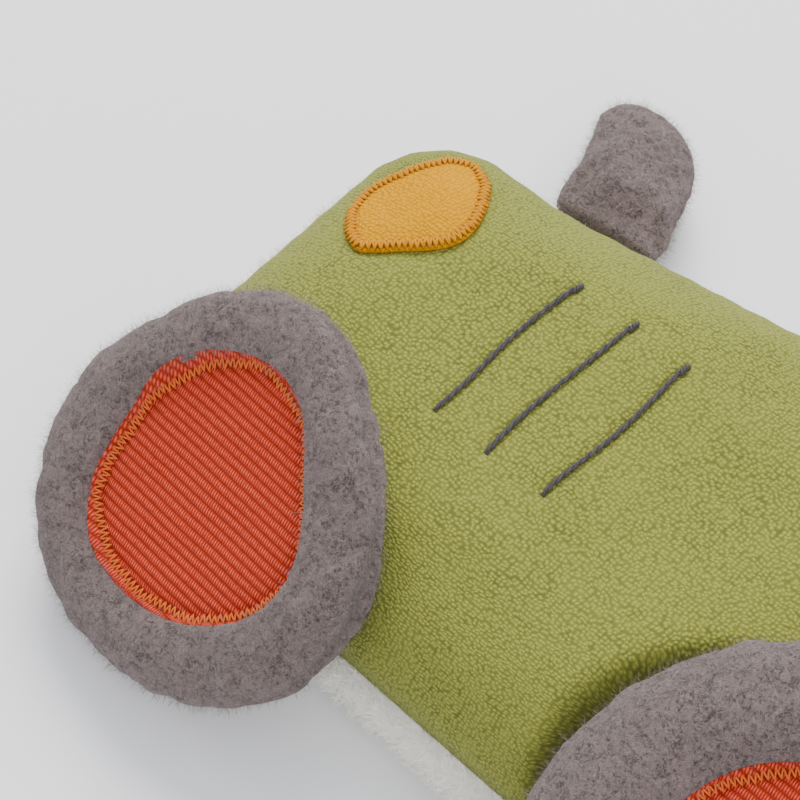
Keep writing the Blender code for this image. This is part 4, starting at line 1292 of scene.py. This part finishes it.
def tyre_ring(wheel, angle, share, side):
    """Reach and height of the tyre at a share of the way from the hub to the rim's seam, on one side."""
    eye, rim = wheel.eye(angle), wheel.rim(angle)
    middle, half = (rim + eye) / 2, (rim - eye) / 2
    turn = pi * (1 - share)
    facing = np.cos(angle - radians(5)) if side > 0 else 0 * angle
    overhang = 0.9 * MM * smooth(0.2, 1.0, facing)
    reach = middle + half * cos(turn) + overhang * min(0.0, sin(2 * turn))
    pinch = 1.4 * MM * np.exp(-((1 - share) / 0.05) ** 2)
    bulge = wheel.tyre if side > 0 else wheel.tyre_back
    floor = wheel.floor - HUB_SUNK[side]
    crest = bulge - floor * 0.5
    uneven = 1 + 0.05 * np.sin(2 * angle + 1) + 0.04 * np.sin(5 * angle + 2) + 0.025 * np.sin(9 * angle)
    height = floor * (1 - share) + crest * uneven * max(0.0, sin(turn)) ** (0.78 - 0.14 * facing)
    return reach - pinch, side * height


def wheel_cover(wheel):
    """A wheel's fleece: both faces, sewn together round the rim and drawn together at the hub."""
    angles = np.linspace(0, 2 * pi, WHEEL_ANGLES, endpoint=False)
    rings, held = [], []
    for side in (1, -1):
        stages = []
        for ring in range(1, HUB_RINGS + 1):
            share = ring / HUB_RINGS
            level = side * (wheel.floor - HUB_SUNK[side]) * np.ones(WHEEL_ANGLES)
            stages.append((wheel.eye(angles) * share, level, 1.0))
        for ring in range(1, TYRE_RINGS + 1):
            share = ring / TYRE_RINGS
            reach, height = tyre_ring(wheel, angles, share, side)
            grip = {1: 1.0, 2: 0.8, TYRE_RINGS: 1.0}.get(ring, 0.0)
            stages.append((reach, height, grip))
        if side < 0:
            stages = stages[:-1][::-1]
        rings.extend((reach, height) for reach, height, _ in stages)
        held.extend(grip for _, _, grip in stages)
    points = [(0, 0, rings[0][1][0])]
    for reach, height in rings:
        points.extend(zip(reach * np.cos(angles), reach * np.sin(angles), height))
    points.append((0, 0, rings[-1][1][0]))
    faces = []
    for index in range(WHEEL_ANGLES):
        after = (index + 1) % WHEEL_ANGLES
        faces.append((0, 1 + index, 1 + after))
        for ring in range(len(rings) - 1):
            low, high = 1 + ring * WHEEL_ANGLES, 1 + (ring + 1) * WHEEL_ANGLES
            faces.append((low + index, high + index, high + after, low + after))
        last = 1 + (len(rings) - 1) * WHEEL_ANGLES
        faces.append((last + index, len(points) - 1, last + after))
    item = to_mesh(f"{wheel.name}_wheel_fleece", wheel.placed(points), faces, finish_of("Grey fleece"))
    weights = [1.0] + [grip for grip in held for _ in range(WHEEL_ANGLES)] + [1.0]
    inflate(item, weights, slack=0.05, limit=1.1 * MM)
    subdivide(item)
    dent(item, wheel)
    return item


def matted(points):
    """The pits and lumps of felted wool, at two sizes."""
    wide = [solid_noise.noise(Vector(point) / (2.6 * MM)) for point in points]
    fine = [solid_noise.noise(Vector(point) / (1.2 * MM)) for point in points]
    return 0.34 * MM * np.array(wide) + 0.14 * MM * np.array(fine)


def dent(item, wheel):
    """Soft dents in the fleece, and its rim's seam drawn in."""
    points = vertices(item)
    local = wheel.local(points)
    reach = np.hypot(local[:, 0], local[:, 1])
    angle = np.arctan2(local[:, 1], local[:, 0])
    tyre = smooth(0, 3 * MM, reach - wheel.eye(angle))
    wave = ripple(local[:, :2], 15 * MM, 3) * 0.45 * MM + matted(points)
    moved = points + normals_of(item) * (wave * tyre)[:, None]
    moved[:, 2] = np.maximum(moved[:, 2], FLEECE_CLEAR)
    move_vertices(item, moved)
    pile = smooth(-0.2 * MM, 0.8 * MM, reach - wheel.eye(angle)) * (0.35 + 0.65 * (local[:, 2] > -1.5 * MM))
    pile_on(item, pile)


def hub_place(wheel, flat):
    """The hub patch's surface: level inside its stitching, then up the tyre's inner wall."""
    flat = np.asarray(flat, float)
    reach = np.hypot(flat[:, 0], flat[:, 1])
    angle = np.arctan2(flat[:, 1], flat[:, 0])
    beyond = reach - (wheel.eye(angle) - 0.9 * MM)
    height = wheel.floor - 0.2 * MM + 1.1 * np.maximum(0, beyond) + 0.25 * MM * ripple(flat, 21 * MM, 6)
    drawn = 0.45 * MM * np.exp(-((beyond + 0.9 * MM) / (0.9 * MM)) ** 2)
    return np.column_stack([flat, height - drawn])


RIB = 1.6 * MM


def hub_patch(wheel, flap):
    """The ribbed jersey in the wheel's middle; flap is where its edge turns up past its stitching."""
    angles = np.linspace(0, 2 * pi, 130, endpoint=False)
    turned = np.zeros(len(angles))
    for at, width, size in flap:
        away = (angles - radians(at) + pi) % (2 * pi) - pi
        turned += size * np.exp(-(away / radians(width)) ** 2)
    reach = wheel.eye(angles) + 0.2 * MM + turned
    loop = np.column_stack([reach * np.cos(angles), reach * np.sin(angles)])
    flat, faces, _ = flat_mesh(loop, [0.5 * MM, 1.1 * MM], RIB / 3.2)
    points = hub_place(wheel, flat)
    rib = np.abs(np.sin(pi * flat[:, 1] / RIB))
    gap, _, _ = nearest(flat, loop, np.roll(loop, -1, axis=0))
    points[:, 2] += 0.2 * MM * (rib ** 0.8 - 0.5) * smooth(0.6 * MM, 2.2 * MM, gap)
    item = to_mesh(f"{wheel.name}_hub_jersey", wheel.placed(points), faces, finish_of("Orange jersey"), flat)
    return thicken(item, HUB_CLOTH)


def hub_edge(wheel):
    """The zigzag that sews the hub patch down, through the whole wheel."""
    angles = np.linspace(0, 2 * pi, 200, endpoint=False)
    reach = wheel.eye(angles) - 1.1 * MM
    wobble = 0.25 * MM * np.sin(7 * angles + 1) + 0.18 * MM * np.sin(12 * angles)
    flat = np.column_stack([(reach + wobble) * np.cos(angles), (reach + wobble) * np.sin(angles)])
    points = hub_place(wheel, flat) + [0, 0, 0.3 * MM]
    sides = np.column_stack([np.cos(angles), np.sin(angles), 0.35 * np.ones(len(angles))])
    ups = np.tile([0.0, 0.0, 1.0], (len(angles), 1))
    guide = guide_line(wheel.placed(points), sides @ wheel.turn, ups @ wheel.turn, closed=True)
    return stitched(
        f"{wheel.name}_hub_zigzag", guide, "zigzag", finish_of("Orange thread"),
        stitches=round(length_of(flat) / (1.1 * MM)), width=1.8 * MM, arch=0.3 * MM, thread=0.18 * MM,
        slip=0.25 * MM, seed=3,
    )


FLEECE_FIBRES = {"width": 0.055 * MM, "lean": 1.55, "curl": 1.5 * MM, "curl_size": 850.0}


def fleece_pile(name, cover, share, seed):
    """The fleece's fibres, as densely as a share of what the settings say."""
    return grown(
        name, cover, "fibres", finish_of("Grey fibres"), density=settings().fibres * 1e4 * share,
        length=settings().fleece_pile, seed=seed, **FLEECE_FIBRES,
    )


def wheel_stitches(name):
    """Whipping stitches that hold a wheel to the bottom seam."""
    low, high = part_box(f"{name}_wheel_tack")
    middle = (low + high) / 2
    xs = np.linspace(low.x, high.x, 30)
    points = [(x, middle.y, middle.z) for x in xs]
    sides = np.tile([0.0, 1.0, 0.0], (30, 1))
    ups = np.tile([0.0, 0.0, 1.0], (30, 1))
    guide = guide_line(points, sides, ups)
    return stitched(
        f"{name}_wheel_whipping", guide, "zigzag", finish_of("Grey thread"),
        stitches=11, width=2.6 * MM, arch=0.5 * MM, thread=0.26 * MM, slip=0.1 * MM, seed=8,
    )


# Exhaust and label -----------------------------------------------------------------------------------

EXHAUST_WIDTH = 23 * MM
EXHAUST_LENGTH = 28 * MM
EXHAUST_THICKNESS = 15.5 * MM
EXHAUST_TUCK = 2 * MM  # how far its base goes under the panel's edge
EXHAUST_LEAN = radians(19)
EXHAUST_DROOP = radians(9)


def exhaust_place():
    joint = JOINTS["exhaust_bend"]
    turn = atan2(joint["axis"][1], joint["axis"][0])
    lean = Matrix.Identity(4)
    lean[0][1] = -tan(EXHAUST_LEAN)
    slope = Matrix.Rotation(turn, 4, "Z") @ Matrix.Rotation(-EXHAUST_DROOP, 4, "X")
    return Matrix.Translation(joint["pos_m"]) @ slope @ lean


def exhaust_cover():
    """A stuffed fleece tab with a round end, its side seams drawn in."""
    rows, columns = 26, 56
    half, round_end = EXHAUST_WIDTH / 2, 11 * MM
    points, held = [], []
    for row in range(rows):
        share = sin(pi / 2 * row / (rows - 1))
        up = share * (EXHAUST_LENGTH + EXHAUST_TUCK) - EXHAUST_TUCK
        past = max(0.0, (up - (EXHAUST_LENGTH - round_end)) / round_end)
        closing = max(0.02, 1 - past ** 2.3) ** 0.5
        base = 1 - 0.08 * (1 - min(1, up / (7 * MM))) ** 2
        for column in range(columns):
            angle = 2 * pi * column / columns
            pinch = 1 - 0.055 * (abs(cos(angle)) ** 60)
            across = half * closing * base * cos(angle) * pinch
            thick = EXHAUST_THICKNESS / 2 * (0.4 + 0.6 * smooth(-2 * MM, 10 * MM, up)) * closing ** 0.85
            through = thick * (abs(sin(angle)) ** 0.85) * (1 if sin(angle) > 0 else -1)
            flare = 2.2 * MM * max(0.0, 1 - up / (13 * MM)) ** 2 * max(0.0, -cos(angle))
            points.append((across - flare, up, through))
            held.append(1.0 if row < 2 or abs(cos(angle)) > 0.995 else 0.0)
    tip = (0, EXHAUST_LENGTH + 0.4 * MM, 0)
    foot = (0, -EXHAUST_TUCK, 0)
    points.extend([tip, foot])
    held.extend([0.0, 1.0])
    faces = []
    for column in range(columns):
        after = (column + 1) % columns
        for row in range(rows - 1):
            low, high = row * columns, (row + 1) * columns
            faces.append((low + column, high + column, high + after, low + after))
        last = (rows - 1) * columns
        faces.append((last + column, len(points) - 2, last + after))
        faces.append((len(points) - 1, column, after))
    place = exhaust_place()
    placed = [place @ Vector(point) for point in points]
    item = to_mesh("exhaust_fleece", placed, faces, finish_of("Grey fleece"))
    inflate(item, held, slack=0.04, limit=0.9 * MM)
    subdivide(item)
    spots = vertices(item)
    flat = np.column_stack([spots[:, 0] + spots[:, 2], spots[:, 1] - spots[:, 2]])
    wave = ripple(flat, 11 * MM, 4) * 0.4 * MM + matted(spots)
    move_vertices(item, spots + normals_of(item) * wave[:, None])
    pile_on(item, np.ones(len(spots)))
    return item


def label_loop():
    """A blank woven tape, folded in half and caught in the windscreen's seam."""
    joint = JOINTS["label_flap"]
    along = Vector(joint["axis"])
    if along.y < 0:
        along = -along
    away = Vector((-along.y, along.x, 0))
    start = Vector(joint["pos_m"])
    width, length, rows, columns = TAPE[0], TAPE[1] / 2, 44, 14
    points, uvs = [], []
    for row in range(rows + 1):
        share = row / rows
        turn = 2 * share - 1
        out = length * (1 - abs(turn) ** 1.6)
        apart = 0.75 * MM * (1 if turn > 0 else -1) * min(1, 3 * abs(turn) ** 0.6)
        rise = apart + 0.5 * MM * sin(pi * out / length)
        for column in range(columns + 1):
            across = column / columns - 0.5
            spot = start + away * out + along * (across * width)
            spot.z += rise + 0.35 * MM * sin(across * 5 + out * 120)
            points.append(spot)
            uvs.append((across * width, share * 2 * length))
    faces = []
    for row in range(rows):
        for column in range(columns):
            corner = row * (columns + 1) + column
            faces.append((corner, corner + 1, corner + columns + 2, corner + columns + 1))
    item = to_mesh("care_label_tape", points, faces, finish_of("Label tape"), uvs)
    return thicken(item, TAPE[2], 0)


# The add-on ------------------------------------------------------------------------------------------


def colour_setting(title, description, default):
    return FloatVectorProperty(
        name=title, description=description, subtype="COLOR", default=default, min=0, max=1)


class PuppetSettings(bpy.types.PropertyGroup):
    """Colours and sizes of the puppet's fabrics."""

    green: colour_setting("Green", "Colour of the front panel's velour", (0.278, 0.294, 0.052))
    green_sheen: colour_setting("Green Sheen", "Colour of the light on the velour's pile", (0.85, 0.95, 0.6))
    cream: colour_setting("Cream", "Colour of the plush and the lining", (0.96, 0.915, 0.82))
    grey: colour_setting("Grey", "Colour of the wheels' and exhaust's fleece", (0.192, 0.144, 0.134))
    orange: colour_setting("Orange", "Colour of the hubs' jersey", (0.77, 0.066, 0.026))
    orange_thread: colour_setting("Orange Thread", "Colour of the zigzag round the hubs", (0.72, 0.15, 0.028))
    yellow: colour_setting("Yellow", "Colour of the headlight's velour", (0.74, 0.33, 0.002))
    yellow_thread: colour_setting(
        "Yellow Thread", "Colour of the zigzag round headlight and window", (0.64, 0.26, 0.002))
    grey_thread: colour_setting("Grey Thread", "Colour of the embroidered lines", (0.085, 0.074, 0.075))
    zigzag_pitch: FloatProperty(
        name="Zigzag Pitch", description="Length of one zig and zag round the headlight", unit="LENGTH",
        default=1.05 * MM, min=0.4 * MM)
    fleece_pile: FloatProperty(
        name="Fleece Pile", description="Length of the fleece's fibres", unit="LENGTH",
        default=2.4 * MM, min=0.2 * MM)
    fibres: IntProperty(
        name="Fibres", description="Fibres on each square centimetre of fleece", default=430, min=10)


class PUPPET_OT_front_panel(bpy.types.Operator):
    """Sew the green front panel and the turned edge of its mouth"""

    bl_idname = "puppet.front_panel"
    bl_label = "Front Panel"

    def execute(self, context):
        cover = front_cover()
        folded(cover, [
            "bonnet_front_panel", "cab_front_panel", "front_hem", "bonnet_front_wadding", "cab_front_wadding",
        ])
        return {"FINISHED"}


class PUPPET_OT_back_panel(bpy.types.Operator):
    """Sew the plush back panel and grow the pile of its edge"""

    bl_idname = "puppet.back_panel"
    bl_label = "Back Panel"

    def execute(self, context):
        cover = back_cover()
        pile = plush_edge_pile(cover)
        folded(cover, [
            "bonnet_back_panel", "cab_back_panel", "back_hem", "bonnet_back_wadding", "cab_back_wadding",
        ])
        folded(pile)
        return {"FINISHED"}


class PUPPET_OT_lining(bpy.types.Operator):
    """Sew the lining bag that takes the hand"""

    bl_idname = "puppet.lining"
    bl_label = "Lining"

    def execute(self, context):
        bag = lining_bag()
        folded(bag, [
            "bonnet_front_lining", "cab_front_lining", "bonnet_back_lining", "cab_back_lining",
        ])
        return {"FINISHED"}


class PUPPET_OT_patches(bpy.types.Operator):
    """Sew on the headlight and the window with their zigzags"""

    bl_idname = "puppet.patches"
    bl_label = "Headlight and Window"

    def execute(self, context):
        pitch = settings().zigzag_pitch
        yellow = finish_of("Yellow thread")
        for name, loop, finish, slot, body, seed in (
            ("headlight", HEADLIGHT, finish_of("Yellow velour"), "yellow_velour", "bonnet_section", 5),
            ("window", window_loop(), finish_of("Cream plush"), "cream_plush", "cab_section", 6),
        ):
            patch = finished(sewn_patch(f"{name}_cloth", loop, finish), body, [f"{name}_patch"])
            edge = sewn_edge(f"{name}_zigzag", loop, yellow, pitch, 2.1 * MM, seed)
            finished(edge, body, [f"{name}_stitching"])
        return {"FINISHED"}


class PUPPET_OT_grille(bpy.types.Operator):
    """Embroider the three lines of the grille"""

    bl_idname = "puppet.grille"
    bl_label = "Grille Lines"

    def execute(self, context):
        for number, (middle, low, high) in enumerate(GRILLE_LINES, 1):
            line = embroidered_line(f"grille_thread_{number}", middle, low, high)
            finished(line, "bonnet_section", [f"grille_line_{number}"])
            knot = end_knot(f"grille_knot_{number}", middle, low, high)
            finished(knot, "bonnet_section")
        return {"FINISHED"}


# The wheels' bodies, how much of the fleece's pile each has, and where its hub's edge turns up:
# (angle, half width in degrees, height)
WHEEL_HOMES = {"front": "bonnet_section", "rear": "cab_section"}
PILE_SHARE = {"front": 1.0, "rear": 0.5}
TURNED_UP = {"front": [(138, 24, 1.3 * MM), (250, 22, 0.5 * MM)], "rear": [(60, 20, 0.9 * MM)]}


class PUPPET_OT_wheels(bpy.types.Operator):
    """Stuff the two wheels, sew in their hubs and grow their fleece"""

    bl_idname = "puppet.wheels"
    bl_label = "Wheels"

    def execute(self, context):
        for name, wheel in WHEELS.items():
            body = f"{name}_wheel"
            cover = wheel_cover(wheel)
            pile = fleece_pile(f"{name}_wheel_pile", cover, PILE_SHARE[name], 11)
            finished(cover, body, [
                f"{name}_wheel_face", f"{name}_wheel_back", f"{name}_wheel_filling",
            ])
            finished(pile, body)
            patch = finished(hub_patch(wheel, TURNED_UP[name]), body, [f"{name}_hub_patch"])
            edge = finished(hub_edge(wheel), body, [f"{name}_hub_stitching"])
            finished(wheel_stitches(name), WHEEL_HOMES[name], [f"{name}_wheel_tack"])
        return {"FINISHED"}


class PUPPET_OT_exhaust(bpy.types.Operator):
    """Stuff the exhaust and grow its fleece"""

    bl_idname = "puppet.exhaust"
    bl_label = "Exhaust"

    def execute(self, context):
        cover = exhaust_cover()
        pile = fleece_pile("exhaust_pile", cover, 1.0, 21)
        finished(cover, "exhaust", ["exhaust_front", "exhaust_back", "exhaust_filling"])
        finished(pile, "exhaust")
        return {"FINISHED"}


class PUPPET_OT_label(bpy.types.Operator):
    """Sew the blank label into the windscreen's seam"""

    bl_idname = "puppet.label"
    bl_label = "Care Label"

    def execute(self, context):
        tape = finished(label_loop(), "care_label", ["care_label"])
        return {"FINISHED"}


class PUPPET_OT_stage(bpy.types.Operator):
    """Lay the floor, and place the lights and the camera"""

    bl_idname = "puppet.stage"
    bl_label = "Stage"

    def execute(self, context):
        make_stage()
        return {"FINISHED"}


CAMERA_AZIMUTH = radians(44.6)
CAMERA_ELEVATION = radians(58)
CAMERA_DISTANCE = 0.6
CAMERA_AIM = (45.7 * MM, 35.5 * MM, 33 * MM)
CAMERA_LENS = 156.6
FLOOR_REACH = 3.0
SKY_COLOUR = (0.93, 0.95, 1.0, 1)
SKY_STRENGTH = 1.07
# Each light: its name, place in metres, width in metres, power in watts and colour
LIGHTS = [
    ("window_light", (-0.75, 0.95, 1.15), 1.1, 36.0, (1.0, 0.985, 0.96)),
    ("fill_light", (0.9, -0.6, 1.2), 1.2, 7.0, (0.97, 0.98, 1.0)),
]


def make_stage():
    corners = [(-1, -1), (1, -1), (1, 1), (-1, 1)]
    floor = to_mesh("floor", [(x * FLOOR_REACH, y * FLOOR_REACH, 0) for x, y in corners], [(0, 1, 2, 3)])
    paper = bpy.data.materials.new("Paper")
    paper.use_nodes = True
    tree = paper.node_tree
    shader = tree.nodes["Principled BSDF"]
    where = tree.nodes.new("ShaderNodeTexCoord").outputs["Object"]
    cloud = noise(tree, where, 9.0, 3.0)
    tone = add_node(tree, "ShaderNodeValToRGB", {0: cloud})
    tone.color_ramp.elements[0].color = (0.955, 0.955, 0.965, 1)
    tone.color_ramp.elements[1].color = (0.98, 0.98, 0.99, 1)
    tree.links.new(tone.outputs[0], shader.inputs["Base Color"])
    shader.inputs["Roughness"].default_value = 0.85
    floor.data.materials.append(paper)
    world = bpy.data.worlds.new("Studio")
    world.use_nodes = True
    background = world.node_tree.nodes["Background"]
    background.inputs[0].default_value = SKY_COLOUR
    background.inputs[1].default_value = SKY_STRENGTH
    bpy.context.scene.world = world
    for light in LIGHTS:
        lamp(*light)
    target = Vector(CAMERA_AIM) + ORIGIN
    back = Vector((
        sin(CAMERA_AZIMUTH) * cos(CAMERA_ELEVATION), -cos(CAMERA_AZIMUTH) * cos(CAMERA_ELEVATION),
        sin(CAMERA_ELEVATION),
    ))
    data = bpy.data.cameras.new("camera")
    data.lens = CAMERA_LENS
    data.sensor_width = 36
    data.clip_start = 0.01
    camera = bpy.data.objects.new("camera", data)
    camera.location = target + back * CAMERA_DISTANCE
    camera.rotation_euler = (-back).to_track_quat("-Z", "Y").to_euler()
    bpy.context.scene.collection.objects.link(camera)
    bpy.context.scene.camera = camera


def lamp(name, place, size, power, colour):
    data = bpy.data.lights.new(name, "AREA")
    data.shape = "DISK"
    data.size = size
    data.energy = power
    data.color = colour
    item = bpy.data.objects.new(name, data)
    item.location = place
    item.rotation_euler = (Vector((0, 0, 0)) - Vector(place)).to_track_quat("-Z", "Y").to_euler()
    bpy.context.scene.collection.objects.link(item)


class PUPPET_PT_panel(bpy.types.Panel):
    """The puppet's pieces, in the order they are sewn"""

    bl_label = "Tractor Puppet"
    bl_idname = "PUPPET_PT_panel"
    bl_space_type = "VIEW_3D"
    bl_region_type = "UI"
    bl_category = "Puppet"

    def draw(self, context):
        for name in PuppetSettings.__annotations__:
            self.layout.prop(context.scene.puppet, name)
        for operator in OPERATORS:
            self.layout.operator(operator.bl_idname)


OPERATORS = [
    PUPPET_OT_stage, PUPPET_OT_front_panel, PUPPET_OT_back_panel, PUPPET_OT_lining, PUPPET_OT_patches,
    PUPPET_OT_grille, PUPPET_OT_wheels, PUPPET_OT_exhaust, PUPPET_OT_label,
]


def register():
    for item in [PuppetSettings, *OPERATORS, PUPPET_PT_panel]:
        bpy.utils.register_class(item)
    bpy.types.Scene.puppet = PointerProperty(type=PuppetSettings)


def unregister():
    del bpy.types.Scene.puppet
    for item in reversed([PuppetSettings, *OPERATORS, PUPPET_PT_panel]):
        bpy.utils.unregister_class(item)


def main():
    register()
    bpy.ops.puppet.stage()
    bpy.ops.puppet.front_panel()
    bpy.ops.puppet.back_panel()
    bpy.ops.puppet.lining()
    bpy.ops.puppet.patches()
    bpy.ops.puppet.grille()
    bpy.ops.puppet.wheels()
    bpy.ops.puppet.exhaust()
    bpy.ops.puppet.label()


if __name__ == "__main__":
    main()
